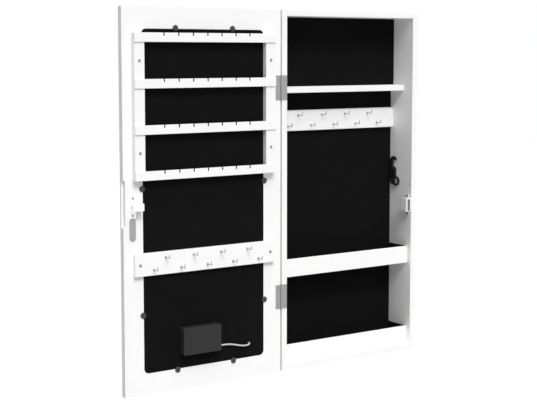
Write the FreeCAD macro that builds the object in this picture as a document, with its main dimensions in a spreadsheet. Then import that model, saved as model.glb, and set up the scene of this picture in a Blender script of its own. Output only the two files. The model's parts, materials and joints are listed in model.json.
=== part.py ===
"""Wall-hung jewellery cabinet with a mirror door, built as it comes apart on a bench.

Millimetres. X runs to the right, Y towards the wall, Z up. The origin is the centre of the
cabinet's rear face. The door is modelled swung open by 180 degrees, flat beside the cabinet,
with its inner face towards the viewer.
"""
import FreeCAD, Part
import math
import os
import re
import Sketcher
from FreeCAD import Placement, Rotation, Vector

document = FreeCAD.newDocument("MirrorCabinet")
sheet = document.addObject("Spreadsheet::Sheet", "Sizes")
sheet_aliases = []


# ---------------------------------------------------------------- sizes and formulas
class Size:
    """A number together with the formula that the document binds it to."""

    def __init__(self, value, formula):
        self.value = float(value)
        self.formula = formula

    def __add__(self, other):
        other = as_size(other)
        return Size(self.value + other.value, f"({self.formula} + {other.formula})")

    def __sub__(self, other):
        other = as_size(other)
        return Size(self.value - other.value, f"({self.formula} - {other.formula})")

    def __mul__(self, other):
        other = as_size(other)
        return Size(self.value * other.value, f"({self.formula} * {other.formula})")

    def __truediv__(self, other):
        other = as_size(other)
        return Size(self.value / other.value, f"({self.formula} / {other.formula})")

    def __radd__(self, other):
        return as_size(other) + self

    def __rsub__(self, other):
        return as_size(other) - self

    def __rmul__(self, other):
        return as_size(other) * self

    def __neg__(self):
        return Size(-self.value, f"(0 - {self.formula})")

    def __float__(self):
        return self.value


def as_size(number):
    return number if isinstance(number, Size) else Size(number, repr(number))


def new_size(alias, value, meaning):
    """Writes one driving dimension into the sheet and returns it."""
    row = len(sheet_aliases) + 1
    sheet.set(f"A{row}", meaning)
    sheet.set(f"B{row}", str(value))
    sheet.setAlias(f"B{row}", alias)
    sheet_aliases.append(alias)
    return Size(value, f"Sizes.{alias}")


# the carcass
cabinet_width = new_size("cabinet_width", 432, "outer width of the cabinet and of its door")
cabinet_height = new_size("cabinet_height", 900, "outer height of the cabinet and of its door")
carcass_depth = new_size("carcass_depth", 93, "depth of the carcass without the door")
panel_thickness = new_size("panel_thickness", 15, "side, top and bottom panels and upper shelf")
back_thickness = new_size("back_thickness", 3, "back panel")
rabbet_width = new_size("rabbet_width", 7, "rabbet that the back panel sits in")
rail_board_thickness = new_size("rail_board_thickness", 11, "hanging rail in the upper bay")
felt_thickness = new_size("felt_thickness", 0.6, "black lining")
upper_bay_height = new_size("upper_bay_height", 175, "clear height over the upper shelf")
upper_shelf_setback = new_size("upper_shelf_setback", 36, "shelf edge behind the front plane")
fence_height = new_size("fence_height", 45, "front board of each bin")
fence_thickness = new_size("fence_thickness", 6, "front board of each bin")
fence_setback = new_size("fence_setback", 15, "front board behind the front plane")
middle_bin_drop = new_size("middle_bin_drop", 172, "top of the middle bin below mid height")
bin_floor_thickness = new_size("bin_floor_thickness", 9, "shelf under the middle bin")
dowel_radius = new_size("dowel_radius", 3, "wooden dowels")
dowel_length = new_size("dowel_length", 24, "wooden dowels")
dowel_inset = new_size("dowel_inset", 20, "dowel axis from a panel's front or rear edge")
housing_depth = new_size("housing_depth", 4, "grooves for the shelf ends")

# hook rails
hook_rail_height = new_size("hook_rail_height", 53, "both hook rails")
hook_rail_thickness = new_size("hook_rail_thickness", 10, "both hook rails")
inner_rail_drop = new_size("inner_rail_drop", 251, "top of the inner hook rail below the top")
hook_row_rise = new_size("hook_row_rise", 13.3, "hook rows above and below the rail's centre")
lower_hook_spacing = new_size("lower_hook_spacing", 72, "lower row of five hooks")
upper_hook_spacing = new_size("upper_hook_spacing", 75, "upper row of four hooks")
hook_wire_radius = new_size("hook_wire_radius", 1.3, "hook wire")
hook_reach = new_size("hook_reach", 20, "hook wire in front of its rail")
hook_rise = new_size("hook_rise", 9, "upturned tip of a hook")
hook_bend_radius = new_size("hook_bend_radius", 3.2, "bend before the upturned tip")
hook_collar_radius = new_size("hook_collar_radius", 3.2, "collar at the root of a hook")
hook_collar_height = new_size("hook_collar_height", 1.6, "collar at the root of a hook")
hook_root_depth = new_size("hook_root_depth", 7, "hook wire inside its rail")

# the cast hook on the right wall
cast_hook_thickness = new_size("cast_hook_thickness", 6, "cast hook, away from the wall")
cast_hook_front = new_size("cast_hook_front", 82, "back edge of the hook behind the front plane")
cast_hook_rise = new_size("cast_hook_rise", 67, "top of the cast hook above mid height")

# magnetic catch, its counter-plate and the lock
catch_width = new_size("catch_width", 16, "catch body, away from the wall")
catch_depth = new_size("catch_depth", 21, "catch body, front to back")
catch_height = new_size("catch_height", 35, "catch body")
catch_recess = new_size("catch_recess", 1, "catch body behind the front plane")
catch_screw_spacing = new_size("catch_screw_spacing", 47, "catch ears")
catch_drop = new_size("catch_drop", 59, "catch centre below mid height")
strike_width = new_size("strike_width", 16, "counter-plate on the door")
strike_height = new_size("strike_height", 54, "counter-plate on the door")
strike_thickness = new_size("strike_thickness", 1.2, "counter-plate on the door")
strike_screw_spacing = new_size("strike_screw_spacing", 42, "counter-plate screws")
edge_fitting_inset = new_size("edge_fitting_inset", 8, "fitting centres inside the wall's face")
lock_drop = new_size("lock_drop", 6, "lock centre below mid height")
lock_screw_spacing = new_size("lock_screw_spacing", 40, "lock flange screws")
lock_flange_height = new_size("lock_flange_height", 52, "lock flange")
lock_flange_width = new_size("lock_flange_width", 15.5, "lock flange")
lock_flange_thickness = new_size("lock_flange_thickness", 2.4, "lock flange")
lock_case_width = new_size("lock_case_width", 28, "lock case, along the door")
lock_case_height = new_size("lock_case_height", 17, "lock case")
lock_case_depth = new_size("lock_case_depth", 20, "lock case, out of the door")
lock_wall_clearance = new_size("lock_wall_clearance", 0.5, "lock case to the closed wall")
lock_axis_inset = new_size("lock_axis_inset", 16, "plug axis from the case's outer side")
lock_barrel_radius = new_size("lock_barrel_radius", 7, "barrel of the lock in the door")
plug_radius = new_size("plug_radius", 5, "turning plug of the lock")
cam_radius = new_size("cam_radius", 6.6, "disc on the plug's inner end")
cam_pin_radius = new_size("cam_pin_radius", 1.3, "pin that drives the bolt")
cam_pin_orbit = new_size("cam_pin_orbit", 5, "pin's distance from the plug's axis")
cam_thickness = new_size("cam_thickness", 1.8, "disc on the plug's inner end")
bolt_radius = new_size("bolt_radius", 3, "round bolt")
bolt_depth = new_size("bolt_depth", 14, "bolt axis out of the door's face")
keeper_clearance = new_size("keeper_clearance", 0.5, "keeper hole round the bolt")
running_clearance = new_size("running_clearance", 0.05, "shafts that turn or slide")
screw_clearance = new_size("screw_clearance", 0.05, "screw holes")

# the door
door_thickness = new_size("door_thickness", 16, "door frame board")
door_gap = new_size("door_gap", 5, "door edge to cabinet side when open")
closing_gap = new_size("closing_gap", 3, "door to carcass front when closed")
opening_margin = new_size("opening_margin", 50, "frame width round the backing board")
opening_corner = new_size("opening_corner", 12, "corner radius of the backing board")
backing_thickness = new_size("backing_thickness", 3, "black backing board")
glass_step = new_size("glass_step", 10, "glass edge inside the backing's edge")
glass_thickness = new_size("glass_thickness", 4, "mirror glass")
glass_clearance = new_size("glass_clearance", 0.5, "glass and backing in their rebates")
front_lip_thickness = new_size("front_lip_thickness", 3, "lip in front of the glass")
front_lip_width = new_size("front_lip_width", 8, "lip over the glass edge")
spacer_width = new_size("spacer_width", 8, "foam spacer behind the glass")
light_tape_width = new_size("light_tape_width", 8, "light strip")
light_tape_thickness = new_size("light_tape_thickness", 1, "light strip")
light_tape_inset = new_size("light_tape_inset", 22, "light strip inside the spacer")
light_spacing = new_size("light_spacing", 120, "lamps along the light strip")
pull_rise = new_size("pull_rise", 1.5, "centre of the finger pull above mid height")
pull_length = new_size("pull_length", 109, "finger pull in the door's edge")
pull_depth = new_size("pull_depth", 10.4, "finger pull, from the inner face")
pull_width = new_size("pull_width", 5, "finger pull, from the free edge")
clip_radius = new_size("clip_radius", 7, "retaining clips")
clip_thickness = new_size("clip_thickness", 2.4, "retaining clips")
clip_offset = new_size("clip_offset", 2, "clip centre outside the backing's edge")
clip_spacing = new_size("clip_spacing", 155, "clips along the top and bottom")
upper_clip_rise = new_size("upper_clip_rise", 34, "upper side clips above mid height")
lower_clip_drop = new_size("lower_clip_drop", 261, "lower side clips below mid height")

# the rack
rack_margin = new_size("rack_margin", 24, "rack and door hook rail from the door's edges")
rack_rail_width = new_size("rack_rail_width", 27, "upright rail of the rack")
rack_rail_thickness = new_size("rack_rail_thickness", 14, "upright rail of the rack")
rack_top_drop = new_size("rack_top_drop", 59, "top of the rack below the door's top")
rack_bottom_rise = new_size("rack_bottom_rise", 54, "bottom of the rack above mid height")
rack_bar_height = new_size("rack_bar_height", 21.4, "notched bar")
rack_bar_thickness = new_size("rack_bar_thickness", 3, "notched bar")
notch_width = new_size("notch_width", 3, "notch in a bar")
notch_depth = new_size("notch_depth", 7, "notch in a bar")
notch_spacing = new_size("notch_spacing", 38.75, "notches along a bar")
door_rail_drop = new_size("door_rail_drop", 115, "top of the door's hook rail below mid height")
rail_screw_inset = new_size("rail_screw_inset", 13, "hook rail's screws from its ends")

# the battery box and its lead
battery_box_width = new_size("battery_box_width", 103, "battery box")
battery_box_height = new_size("battery_box_height", 65, "battery box")
battery_box_depth = new_size("battery_box_depth", 20, "battery box with its cover")
battery_box_rise = new_size("battery_box_rise", 84, "battery box above the door's bottom")
battery_box_offset = new_size("battery_box_offset", 20, "battery box left of the door's centre")
battery_wall = new_size("battery_wall", 1.6, "battery box wall")
battery_pad_thickness = new_size("battery_pad_thickness", 0.8, "adhesive pad")
battery_cover_thickness = new_size("battery_cover_thickness", 2, "battery cover")
cell_radius = new_size("cell_radius", 7.1, "battery cell")
cell_length = new_size("cell_length", 50.5, "battery cell")
cell_pitch = new_size("cell_pitch", 14.8, "battery cells side by side")
switch_travel = new_size("switch_travel", 4, "travel of the light switch")
lead_radius = new_size("lead_radius", 2, "lead of the lights")
lead_rise = new_size("lead_rise", 4.6, "lead's axis out of the door's inner face")
lead_exit_rise = new_size("lead_exit_rise", 7.7, "lead's outlet above the box's bottom")
lead_hole_rise = new_size("lead_hole_rise", 2.1, "lead's hole above the box's bottom")
lead_run = new_size("lead_run", 91, "lead's hole right of the battery box")

# hinges and hangers
hinge_length = new_size("hinge_length", 60, "butt hinge")
hinge_inset = new_size("hinge_inset", 190, "hinge centre from the cabinet's ends")
leaf_thickness = new_size("leaf_thickness", 1.2, "hinge leaf")
leaf_edge = new_size("leaf_edge", 1, "panel edge left bare beside a leaf")
knuckle_radius = new_size("knuckle_radius", 2.5, "hinge knuckle")
hinge_pin_radius = new_size("hinge_pin_radius", 1.25, "hinge pin")
knuckle_clearance = new_size("knuckle_clearance", 0.3, "between knuckles")
hanger_spacing = new_size("hanger_spacing", 300, "keyhole hangers")
hanger_drop = new_size("hanger_drop", 70, "keyhole hangers below the top")
hanger_plate_width = new_size("hanger_plate_width", 20, "keyhole plate")
hanger_plate_height = new_size("hanger_plate_height", 46, "keyhole plate")
hanger_plate_thickness = new_size("hanger_plate_thickness", 1.5, "keyhole plate")
keyhole_radius = new_size("keyhole_radius", 4.5, "round end of the keyhole")
keyhole_slot = new_size("keyhole_slot", 4.6, "slot of the keyhole")
keyhole_travel = new_size("keyhole_travel", 9, "slot above the round end")
hanger_pocket_depth = new_size("hanger_pocket_depth", 7, "room for the wall screw's head")
document.recompute()

# places that many pieces share
half_width = cabinet_width / 2
half_height = cabinet_height / 2
front = -carcass_depth
wall_left = -half_width + panel_thickness
wall_right = half_width - panel_thickness
inner_width = cabinet_width - 2 * panel_thickness
inner_top = half_height - panel_thickness
inner_bottom = -half_height + panel_thickness
back_front = -back_thickness
lining_front = back_front - felt_thickness
door_right = -half_width - door_gap
door_left = door_right - cabinet_width
door_middle = door_right - half_width
door_front = front + door_thickness
hinge_x = -half_width - door_gap / 2
hinge_y = front - closing_gap / 2
edge_fitting_x = wall_right - edge_fitting_inset
door_fitting_x = 2 * hinge_x - edge_fitting_x


# ---------------------------------------------------------------- helpers
def bind(piece, **formulas):
    """Binds properties of a piece to formulas; a double underscore stands for a dot."""
    for name, size in formulas.items():
        piece.setExpression(name.replace("__", "."), as_size(size).formula)


def place(piece, corner):
    bind(
        piece,
        Placement__Base__x=corner[0],
        Placement__Base__y=corner[1],
        Placement__Base__z=corner[2],
    )
    return piece


def block(name, corner, lengths):
    """A rectangular piece from its lowest corner and its three lengths."""
    piece = document.addObject("Part::Box", name)
    bind(piece, Length=lengths[0], Width=lengths[1], Height=lengths[2])
    return place(piece, corner)


TURNS = {
    "+x": Rotation(Vector(0, 1, 0), 90),
    "-x": Rotation(Vector(0, 1, 0), -90),
    "+y": Rotation(Vector(1, 0, 0), -90),
    "-y": Rotation(Vector(1, 0, 0), 90),
    "+z": Rotation(),
    "-z": Rotation(Vector(1, 0, 0), 180),
}


def rod(name, start, direction, radius, length):
    """A round piece that starts at a point and runs in a direction such as "-y"."""
    piece = document.addObject("Part::Cylinder", name)
    piece.Placement = Placement(Vector(), TURNS[direction])
    bind(piece, Radius=radius, Height=length)
    return place(piece, start)


def prism(name, start, direction, sides, radius, length):
    """A many-sided rod, which keeps small repeated pieces and their holes light."""
    piece = document.addObject("Part::Prism", name)
    piece.Placement = Placement(Vector(), TURNS[direction])
    piece.Polygon = sides
    bind(piece, Circumradius=radius, Height=length)
    return place(piece, start)


def group(name, pieces):
    """Separate solids that share one name."""
    compound = document.addObject("Part::Compound", name)
    compound.Links = pieces
    return compound


def fuse(name, pieces):
    joined = document.addObject("Part::MultiFuse", name)
    joined.Shapes = pieces
    return joined


def cut(name, base, tools):
    """Takes one tool, or a list of tools, away from the base."""
    if isinstance(tools, list):
        tools = group(name + "_tools", tools)
    result = document.addObject("Part::Cut", name)
    result.Base = base
    result.Tool = tools
    return result


nodes = []


def node(piece, label):
    """Marks a finished sub-part; its label names its file."""
    piece.Label = label
    nodes.append(piece)
    return piece


HEAD_SIDES = 12
DOWEL_SIDES = 8
CLIP_SIDES = 16
CELL_SIDES = 12
HOOK_SIDES = 6
LEAD_SIDES = 8
KNUCKLES = 3
SHANK_SIDES = 6
OPPOSITE = {"+x": "-x", "-x": "+x", "+y": "-y", "-y": "+y", "+z": "-z", "-z": "+z"}


class Screw:
    """A wood screw. A pan head stands on its seat; a flush head is let into it."""

    def __init__(self, head_radius, head_height, shank_radius, shank_length, flush=False):
        self.head_radius = as_size(head_radius)
        self.head_height = as_size(head_height)
        self.shank_radius = as_size(shank_radius)
        self.shank_length = as_size(shank_length)
        self.flush = flush

    def solid(self, name, seat, direction):
        way = direction if self.flush else OPPOSITE[direction]
        head = prism(name + "_head", seat, way, HEAD_SIDES, self.head_radius, self.head_height)
        shank = prism(name + "_shank", seat, direction, SHANK_SIDES, self.shank_radius,
                      self.shank_length)
        return fuse(name, [head, shank])

    def hole(self, name, seat, direction):
        """The room for the shank, and for a flush head, that its piece is cut with."""
        shank = prism(name + "_shank", seat, direction, SHANK_SIDES,
                      self.shank_radius + screw_clearance, self.shank_length + 0.5)
        if not self.flush:
            return shank
        head = prism(name + "_head", seat, direction, HEAD_SIDES,
                     self.head_radius + screw_clearance, self.head_height)
        return fuse(name, [head, shank])


def body(name):
    return document.addObject("PartDesign::Body", name)


def sketch(owner, plane, name):
    """A sketch on one of its body's own origin planes."""
    result = owner.newObject("Sketcher::SketchObject", name)
    for feature in owner.Origin.OriginFeatures:
        if feature.Role == plane:
            result.AttachmentSupport = (feature, [""])
    result.MapMode = "FlatFace"
    return result


def dimension(target, kind, elements, size):
    """Adds one dimensional constraint and binds it to a formula."""
    size = as_size(size)
    index = target.addConstraint(Sketcher.Constraint(kind, *elements, size.value))
    target.renameConstraint(index, f"{kind}{index}")
    target.setExpression(f"Constraints.{kind}{index}", size.formula)


def pin_point(target, geometry, end, x, y):
    """Holds one end of an edge at a place measured from the sketch's origin."""
    dimension(target, "DistanceX", (-1, 1, geometry, end), x)
    dimension(target, "DistanceY", (-1, 1, geometry, end), y)


def polygon(target, points):
    """A closed outline of straight edges whose corners are bound to formulas."""
    corners = [Vector(float(as_size(x)), float(as_size(y)), 0) for x, y in points]
    first = target.GeometryCount
    for index, corner in enumerate(corners):
        following = corners[(index + 1) % len(corners)]
        target.addGeometry(Part.LineSegment(corner, following), False)
    for index, (x, y) in enumerate(points):
        after = first + (index + 1) % len(points)
        target.addConstraint(Sketcher.Constraint("Coincident", first + index, 2, after, 1))
        pin_point(target, first + index, 1, x, y)


def rectangle(target, left, bottom, width, height):
    right = as_size(left) + width
    top = as_size(bottom) + height
    polygon(target, [(left, bottom), (right, bottom), (right, top), (left, top)])


def circle(target, x, y, radius):
    centre = Vector(float(as_size(x)), float(as_size(y)), 0)
    index = target.addGeometry(Part.Circle(centre, Vector(0, 0, 1), float(as_size(radius))), False)
    dimension(target, "Radius", (index,), radius)
    pin_point(target, index, 3, x, y)


def pad(owner, profile, length, name, rearward=False):
    """Raises a profile; one drawn on the X-Z plane rises forward unless told otherwise."""
    feature = owner.newObject("PartDesign::Pad", name)
    feature.Profile = profile
    feature.Reversed = rearward
    bind(feature, Length=length)
    profile.Visibility = False
    return feature


def pocket(owner, profile, length, name, rearward=False):
    """Cuts forward or rearward from the profile, and stops the build if it cuts nothing."""
    document.recompute()
    volume_before = owner.Shape.Volume
    feature = owner.newObject("PartDesign::Pocket", name)
    feature.Profile = profile
    feature.Reversed = not rearward
    bind(feature, Length=length)
    document.recompute()
    if owner.Shape.Volume > volume_before - 1e-6:
        raise ValueError(f"{name} cuts nothing")
    return feature


def edges_along(shape, axis, test):
    """Names of the straight edges along an axis whose midpoint passes a test."""
    found = []
    for index, edge in enumerate(shape.Edges, 1):
        if not isinstance(edge.Curve, Part.Line):
            continue
        direction = edge.Vertexes[-1].Point - edge.Vertexes[0].Point
        if abs(abs(direction.dot(axis)) - direction.Length) > 1e-6:
            continue
        if test(edge.CenterOfMass):
            found.append(f"Edge{index}")
    return found


def round_edges(owner, axis, radius, name, test=lambda point: True):
    """Rounds the edges of a body that run along an axis."""
    document.recompute()
    base = owner.Tip
    feature = owner.newObject("PartDesign::Fillet", name)
    feature.Base = (base, edges_along(base.Shape, axis, test))
    bind(feature, Radius=radius)
    document.recompute()
    return feature


def slab(name, corner, lengths, corner_radius=None, axis="y"):
    """A board as a body: a padded rectangle, with its corners rounded if asked."""
    board = body(name)
    outline = sketch(board, "XZ_Plane", name + "_outline")
    rectangle(outline, 0, 0, lengths[0], lengths[2])
    pad(board, outline, lengths[1], name + "_pad", rearward=True)
    if corner_radius is not None:
        round_edges(board, Vector(0, 1, 0), corner_radius, name + "_corners")
    return place(board, corner)


# ---------------------------------------------------------------- the carcass
def corner_dowels(name, radius, length):
    """Two fluted dowels along X at each corner of the carcass, or the holes for them."""
    dowels = []
    for level, sign in (("top", 1), ("bottom", -1)):
        z = sign * (half_height - panel_thickness / 2)
        for row, y in (("front", front + dowel_inset), ("rear", -dowel_inset)):
            dowels.append(prism(f"{name}_left_{level}_{row}", (wall_left - length / 2, y, z),
                                "+x", DOWEL_SIDES, radius, length))
            dowels.append(prism(f"{name}_right_{level}_{row}", (wall_right + length / 2, y, z),
                                "-x", DOWEL_SIDES, radius, length))
    return dowels


def dowel_holes(name):
    """Every dowel's hole, a little wider and longer than the dowel."""
    return corner_dowels(name, dowel_radius + screw_clearance, dowel_length + 1)


node(group("dowel_set", corner_dowels("dowel", dowel_radius, dowel_length)), "dowels")

shelf_top = inner_top - upper_bay_height
shelf_bottom = shelf_top - panel_thickness
shelf_front = front + upper_shelf_setback
rail_board_front = back_front - rail_board_thickness
bin_top = -middle_bin_drop
bin_bottom = bin_top - fence_height
fence_front = front + fence_setback
fence_rear = fence_front + fence_thickness
floor_top = bin_bottom + bin_floor_thickness


def shelf_housings(name):
    """The grooves in the side panels that the ends of both shelves sit in."""
    grooves = []
    for shelf, near, bottom, thickness in (
            ("upper", shelf_front, shelf_bottom, panel_thickness),
            ("middle", fence_rear, bin_bottom, bin_floor_thickness)):
        grooves.append(block(f"{name}_{shelf}",
                             (wall_left - housing_depth, near, bottom),
                             (inner_width + 2 * housing_depth, back_front - near, thickness)))
    return grooves


def shelf(name, near, bottom, rear, thickness):
    """A shelf whose ends reach into both housings, a little short of their ends."""
    reach = housing_depth - 0.2
    return slab(name, (wall_left - reach, near, bottom),
                (inner_width + 2 * reach, rear - near, thickness))


def side_board(name, outer_x, inward):
    """A full-height side whose rear inner edge is rabbeted for the back panel."""
    board = body(name + "_board")
    section = sketch(board, "XY_Plane", name + "_section")
    outline = [
        (0, 0),
        (inward * panel_thickness, 0),
        (inward * panel_thickness, carcass_depth - back_thickness),
        (inward * (panel_thickness - rabbet_width), carcass_depth - back_thickness),
        (inward * (panel_thickness - rabbet_width), carcass_depth),
        (0, carcass_depth),
    ]
    polygon(section, outline if inward > 0 else outline[::-1])
    pad(board, section, cabinet_height, name + "_pad")
    return place(board, (outer_x, front, -half_height))


def end_board(name, outer_z, inward):
    """A top or bottom between the sides, rabbeted like them."""
    board = body(name + "_board")
    section = sketch(board, "YZ_Plane", name + "_section")
    outline = [
        (0, 0),
        (carcass_depth, 0),
        (carcass_depth, inward * (panel_thickness - rabbet_width)),
        (carcass_depth - back_thickness, inward * (panel_thickness - rabbet_width)),
        (carcass_depth - back_thickness, inward * panel_thickness),
        (0, inward * panel_thickness),
    ]
    polygon(section, outline if inward > 0 else outline[::-1])
    pad(board, section, inner_width, name + "_pad")
    return place(board, (wall_left, front, outer_z))


# ---------------------------------------------------------------- fasteners
hinge_screw = Screw(2.8, leaf_thickness, 1.4, 12, flush=True)
pan_screw = Screw(3.4, 1.8, 1.6, 12)
small_screw = Screw(2.7, 1.4, 1.2, 9)


leaf_reach = door_gap / 2 + panel_thickness - leaf_edge
leaf_bare = leaf_reach - door_gap / 2
hinge_levels = {"upper": half_height - hinge_inset, "lower": -half_height + hinge_inset}
hinge_screw_rise = hinge_length / 3


def hinge_screw_seats(side):
    """Two screws in each leaf, on the front of the carcass or of the door."""
    direction = 1 if side == "cabinet" else -1
    x = hinge_x + direction * (door_gap / 2 + leaf_bare / 2)
    seats = []
    for level, height in hinge_levels.items():
        for row, sign in (("top", 1), ("bottom", -1)):
            seats.append((f"{level}_{row}",
                          (x, front - leaf_thickness, height + sign * hinge_screw_rise)))
    return seats


def hinge_screw_holes(side, name):
    return [hinge_screw.hole(f"{name}_{place_name}", seat, "+y")
            for place_name, seat in hinge_screw_seats(side)]


catch_level = -catch_drop
catch_screw_seats = [
    ("top", (wall_right - 2, front + catch_recess + catch_depth / 2 + 2,
             catch_level + catch_screw_spacing / 2)),
    ("bottom", (wall_right - 2, front + catch_recess + catch_depth / 2 + 2,
                catch_level - catch_screw_spacing / 2)),
]
hook_back = front + cast_hook_front
cast_hook_screw_seats = [
    ("upper", (wall_right - cast_hook_thickness, hook_back - 10, cast_hook_rise - 34)),
    ("lower", (wall_right - cast_hook_thickness, hook_back - 6, cast_hook_rise - 66)),
]
lock_level = -lock_drop
bolt_throw = 2 * math.sqrt(0.5) * cam_pin_orbit
bolt_y = front - bolt_depth
keeper_y = 2 * hinge_y - bolt_y

left_holes = dowel_holes("left_dowel_hole") + shelf_housings("left_housing")
left_holes += hinge_screw_holes("cabinet", "left_hinge_hole")
node(cut("side_panel_left_cut", side_board("left", -half_width, 1), left_holes),
     "side_panel_left")

right_holes = dowel_holes("right_dowel_hole") + shelf_housings("right_housing")
right_holes.append(rod("keeper_hole", (wall_right - 1, keeper_y, lock_level), "+x",
                       bolt_radius + keeper_clearance, bolt_throw + 2))
for place_name, seat in catch_screw_seats:
    right_holes.append(small_screw.hole(f"catch_hole_{place_name}", seat, "+x"))
for place_name, seat in cast_hook_screw_seats:
    right_holes.append(pan_screw.hole(f"cast_hook_hole_{place_name}", seat, "+x"))
node(cut("side_panel_right_cut", side_board("right", half_width, -1), right_holes),
     "side_panel_right")

node(cut("top_panel_cut", end_board("top", half_height, -1), dowel_holes("top_dowel_hole")),
     "top_panel")
node(cut("bottom_panel_cut", end_board("bottom", -half_height, 1),
         dowel_holes("bottom_dowel_hole")), "bottom_panel")

hanger_levels = half_height - hanger_drop
hanger_columns = {"left": -hanger_spacing / 2, "right": hanger_spacing / 2}
hanger_screw = Screw(2.6, 1.2, 1.4, 8)
hanger_screw_rise = hanger_plate_height / 2 - 6


def hanger_windows(name, clearance):
    """The outline of each keyhole plate, as windows in the back panel."""
    windows = []
    for side, x in hanger_columns.items():
        windows.append(block(
            f"{name}_{side}",
            (x - hanger_plate_width / 2 - clearance, back_front - 1,
             hanger_levels - hanger_plate_height / 2 - clearance),
            (hanger_plate_width + 2 * clearance, back_thickness + 2,
             hanger_plate_height + 2 * clearance)))
    return windows


back_inset = panel_thickness - rabbet_width + 0.2
back_board = slab(
    "back_board",
    (-half_width + back_inset, back_front, -half_height + back_inset),
    (cabinet_width - 2 * back_inset, back_thickness, cabinet_height - 2 * back_inset),
)
node(cut("back_panel_cut", back_board, hanger_windows("hanger_window", 0.2)), "back_panel")

hanger_pockets = []
for side, x in hanger_columns.items():
    hanger_pockets.append(block(
        f"hanger_pocket_{side}",
        (x - 7, back_front - hanger_pocket_depth, hanger_levels - 12),
        (14, hanger_pocket_depth + 1, 26)))
    for row, sign in (("top", 1), ("bottom", -1)):
        hanger_pockets.append(hanger_screw.hole(
            f"hanger_screw_hole_{side}_{row}",
            (x, back_front + hanger_plate_thickness,
             hanger_levels + sign * hanger_screw_rise), "-y"))
hanging_board = slab("hanging_board", (wall_left, rail_board_front, shelf_top),
                     (inner_width, rail_board_thickness, upper_bay_height))
node(cut("hanging_rail_cut", hanging_board, hanger_pockets), "hanging_rail")
node(slab("rail_felt", (wall_left, rail_board_front - felt_thickness, shelf_top),
          (inner_width, felt_thickness, upper_bay_height)), "rail_lining")
node(slab("back_felt", (wall_left, lining_front, inner_bottom),
          (inner_width, felt_thickness, shelf_bottom - inner_bottom)), "back_lining")

node(shelf("shelf_board", shelf_front, shelf_bottom, back_front, panel_thickness),
     "upper_shelf")
node(shelf("floor_board", fence_rear, bin_bottom, lining_front, bin_floor_thickness),
     "middle_shelf")
node(slab("middle_fence_board", (wall_left, fence_front, bin_bottom),
          (inner_width, fence_thickness, fence_height)), "middle_fence")
node(slab("bottom_fence_board", (wall_left, fence_front, inner_bottom),
          (inner_width, fence_thickness, fence_height)), "bottom_fence")


def bin_lining(name, floor, top):
    """A felt tray: a floor and four walls as high as the fence, open above."""
    depth = lining_front - fence_rear
    outside = block(name + "_outside", (wall_left, fence_rear, floor),
                    (inner_width, depth, top - floor))
    hollow = block(name + "_hollow",
                   (wall_left + felt_thickness, fence_rear + felt_thickness,
                    floor + felt_thickness),
                   (inner_width - 2 * felt_thickness, depth - 2 * felt_thickness,
                    top - floor))
    return cut(name, outside, hollow)


node(bin_lining("middle_felt_tray", floor_top, bin_top), "middle_bin_lining")
node(bin_lining("bottom_felt_tray", inner_bottom, inner_bottom + fence_height),
     "bottom_bin_lining")


# ---------------------------------------------------------------- keyhole hangers
def keyhole_plate(side, x):
    """A flat steel plate with a keyhole: round entry below, narrow slot above."""
    plate = body(f"hanger_blank_{side}")
    outline = sketch(plate, "XZ_Plane", f"hanger_outline_{side}")
    rectangle(outline, -hanger_plate_width / 2, -hanger_plate_height / 2,
              hanger_plate_width, hanger_plate_height)
    pad(plate, outline, hanger_plate_thickness, f"hanger_pad_{side}")
    slot = sketch(plate, "XZ_Plane", f"hanger_slot_{side}")
    rectangle(slot, -keyhole_slot / 2, 0, keyhole_slot, keyhole_travel)
    pocket(plate, slot, hanger_plate_thickness, f"hanger_slot_cut_{side}")
    for row, height, radius in (("entry", 0, keyhole_radius),
                                ("seat", keyhole_travel, keyhole_slot / 2)):
        hole = sketch(plate, "XZ_Plane", f"hanger_{row}_{side}")
        circle(hole, 0, height, radius)
        pocket(plate, hole, hanger_plate_thickness, f"hanger_{row}_cut_{side}")
    place(plate, (x, back_front + hanger_plate_thickness, hanger_levels))
    return cut(f"hanger_plate_{side}", plate,
               [hanger_screw.hole(f"hanger_plate_hole_{side}_{row}",
                                  (x, back_front + hanger_plate_thickness,
                                   hanger_levels + sign * hanger_screw_rise), "-y")
                for row, sign in (("top", 1), ("bottom", -1))])


node(group("hanger_plate_set", [keyhole_plate(side, x) for side, x in hanger_columns.items()]),
     "hanger_plates")
hanger_screw_set = []
for side, x in hanger_columns.items():
    for row, sign in (("top", 1), ("bottom", -1)):
        seat = (x, back_front + hanger_plate_thickness, hanger_levels + sign * hanger_screw_rise)
        hanger_screw_set.append(hanger_screw.solid(f"hanger_screw_{side}_{row}", seat, "-y"))
node(group("hanger_screw_set", hanger_screw_set), "hanger_screws")


# ---------------------------------------------------------------- hook rails and hooks
def hook_places(rail_left, rail_length, rail_middle):
    """Five hooks in the lower row and four in the upper one, as numbers."""
    centre = float(rail_left + rail_length / 2)
    middle = float(rail_middle)
    rise = float(hook_row_rise)
    lower = [(centre + float(lower_hook_spacing) * step, middle - rise)
             for step in (-2, -1, 0, 1, 2)]
    upper = [(centre + float(upper_hook_spacing) * step, middle + rise)
             for step in (-1.5, -0.5, 0.5, 1.5)]
    return lower + upper


def ring_points(centre, forward, radius, sides):
    """The corners of a regular section across a direction in the Y-Z plane."""
    across = Vector(1, 0, 0)
    upward = forward.cross(across)
    return [centre + across * (radius * math.cos(turn)) + upward * (radius * math.sin(turn))
            for turn in (2 * math.pi * (index + 0.5) / sides for index in range(sides))]


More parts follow.
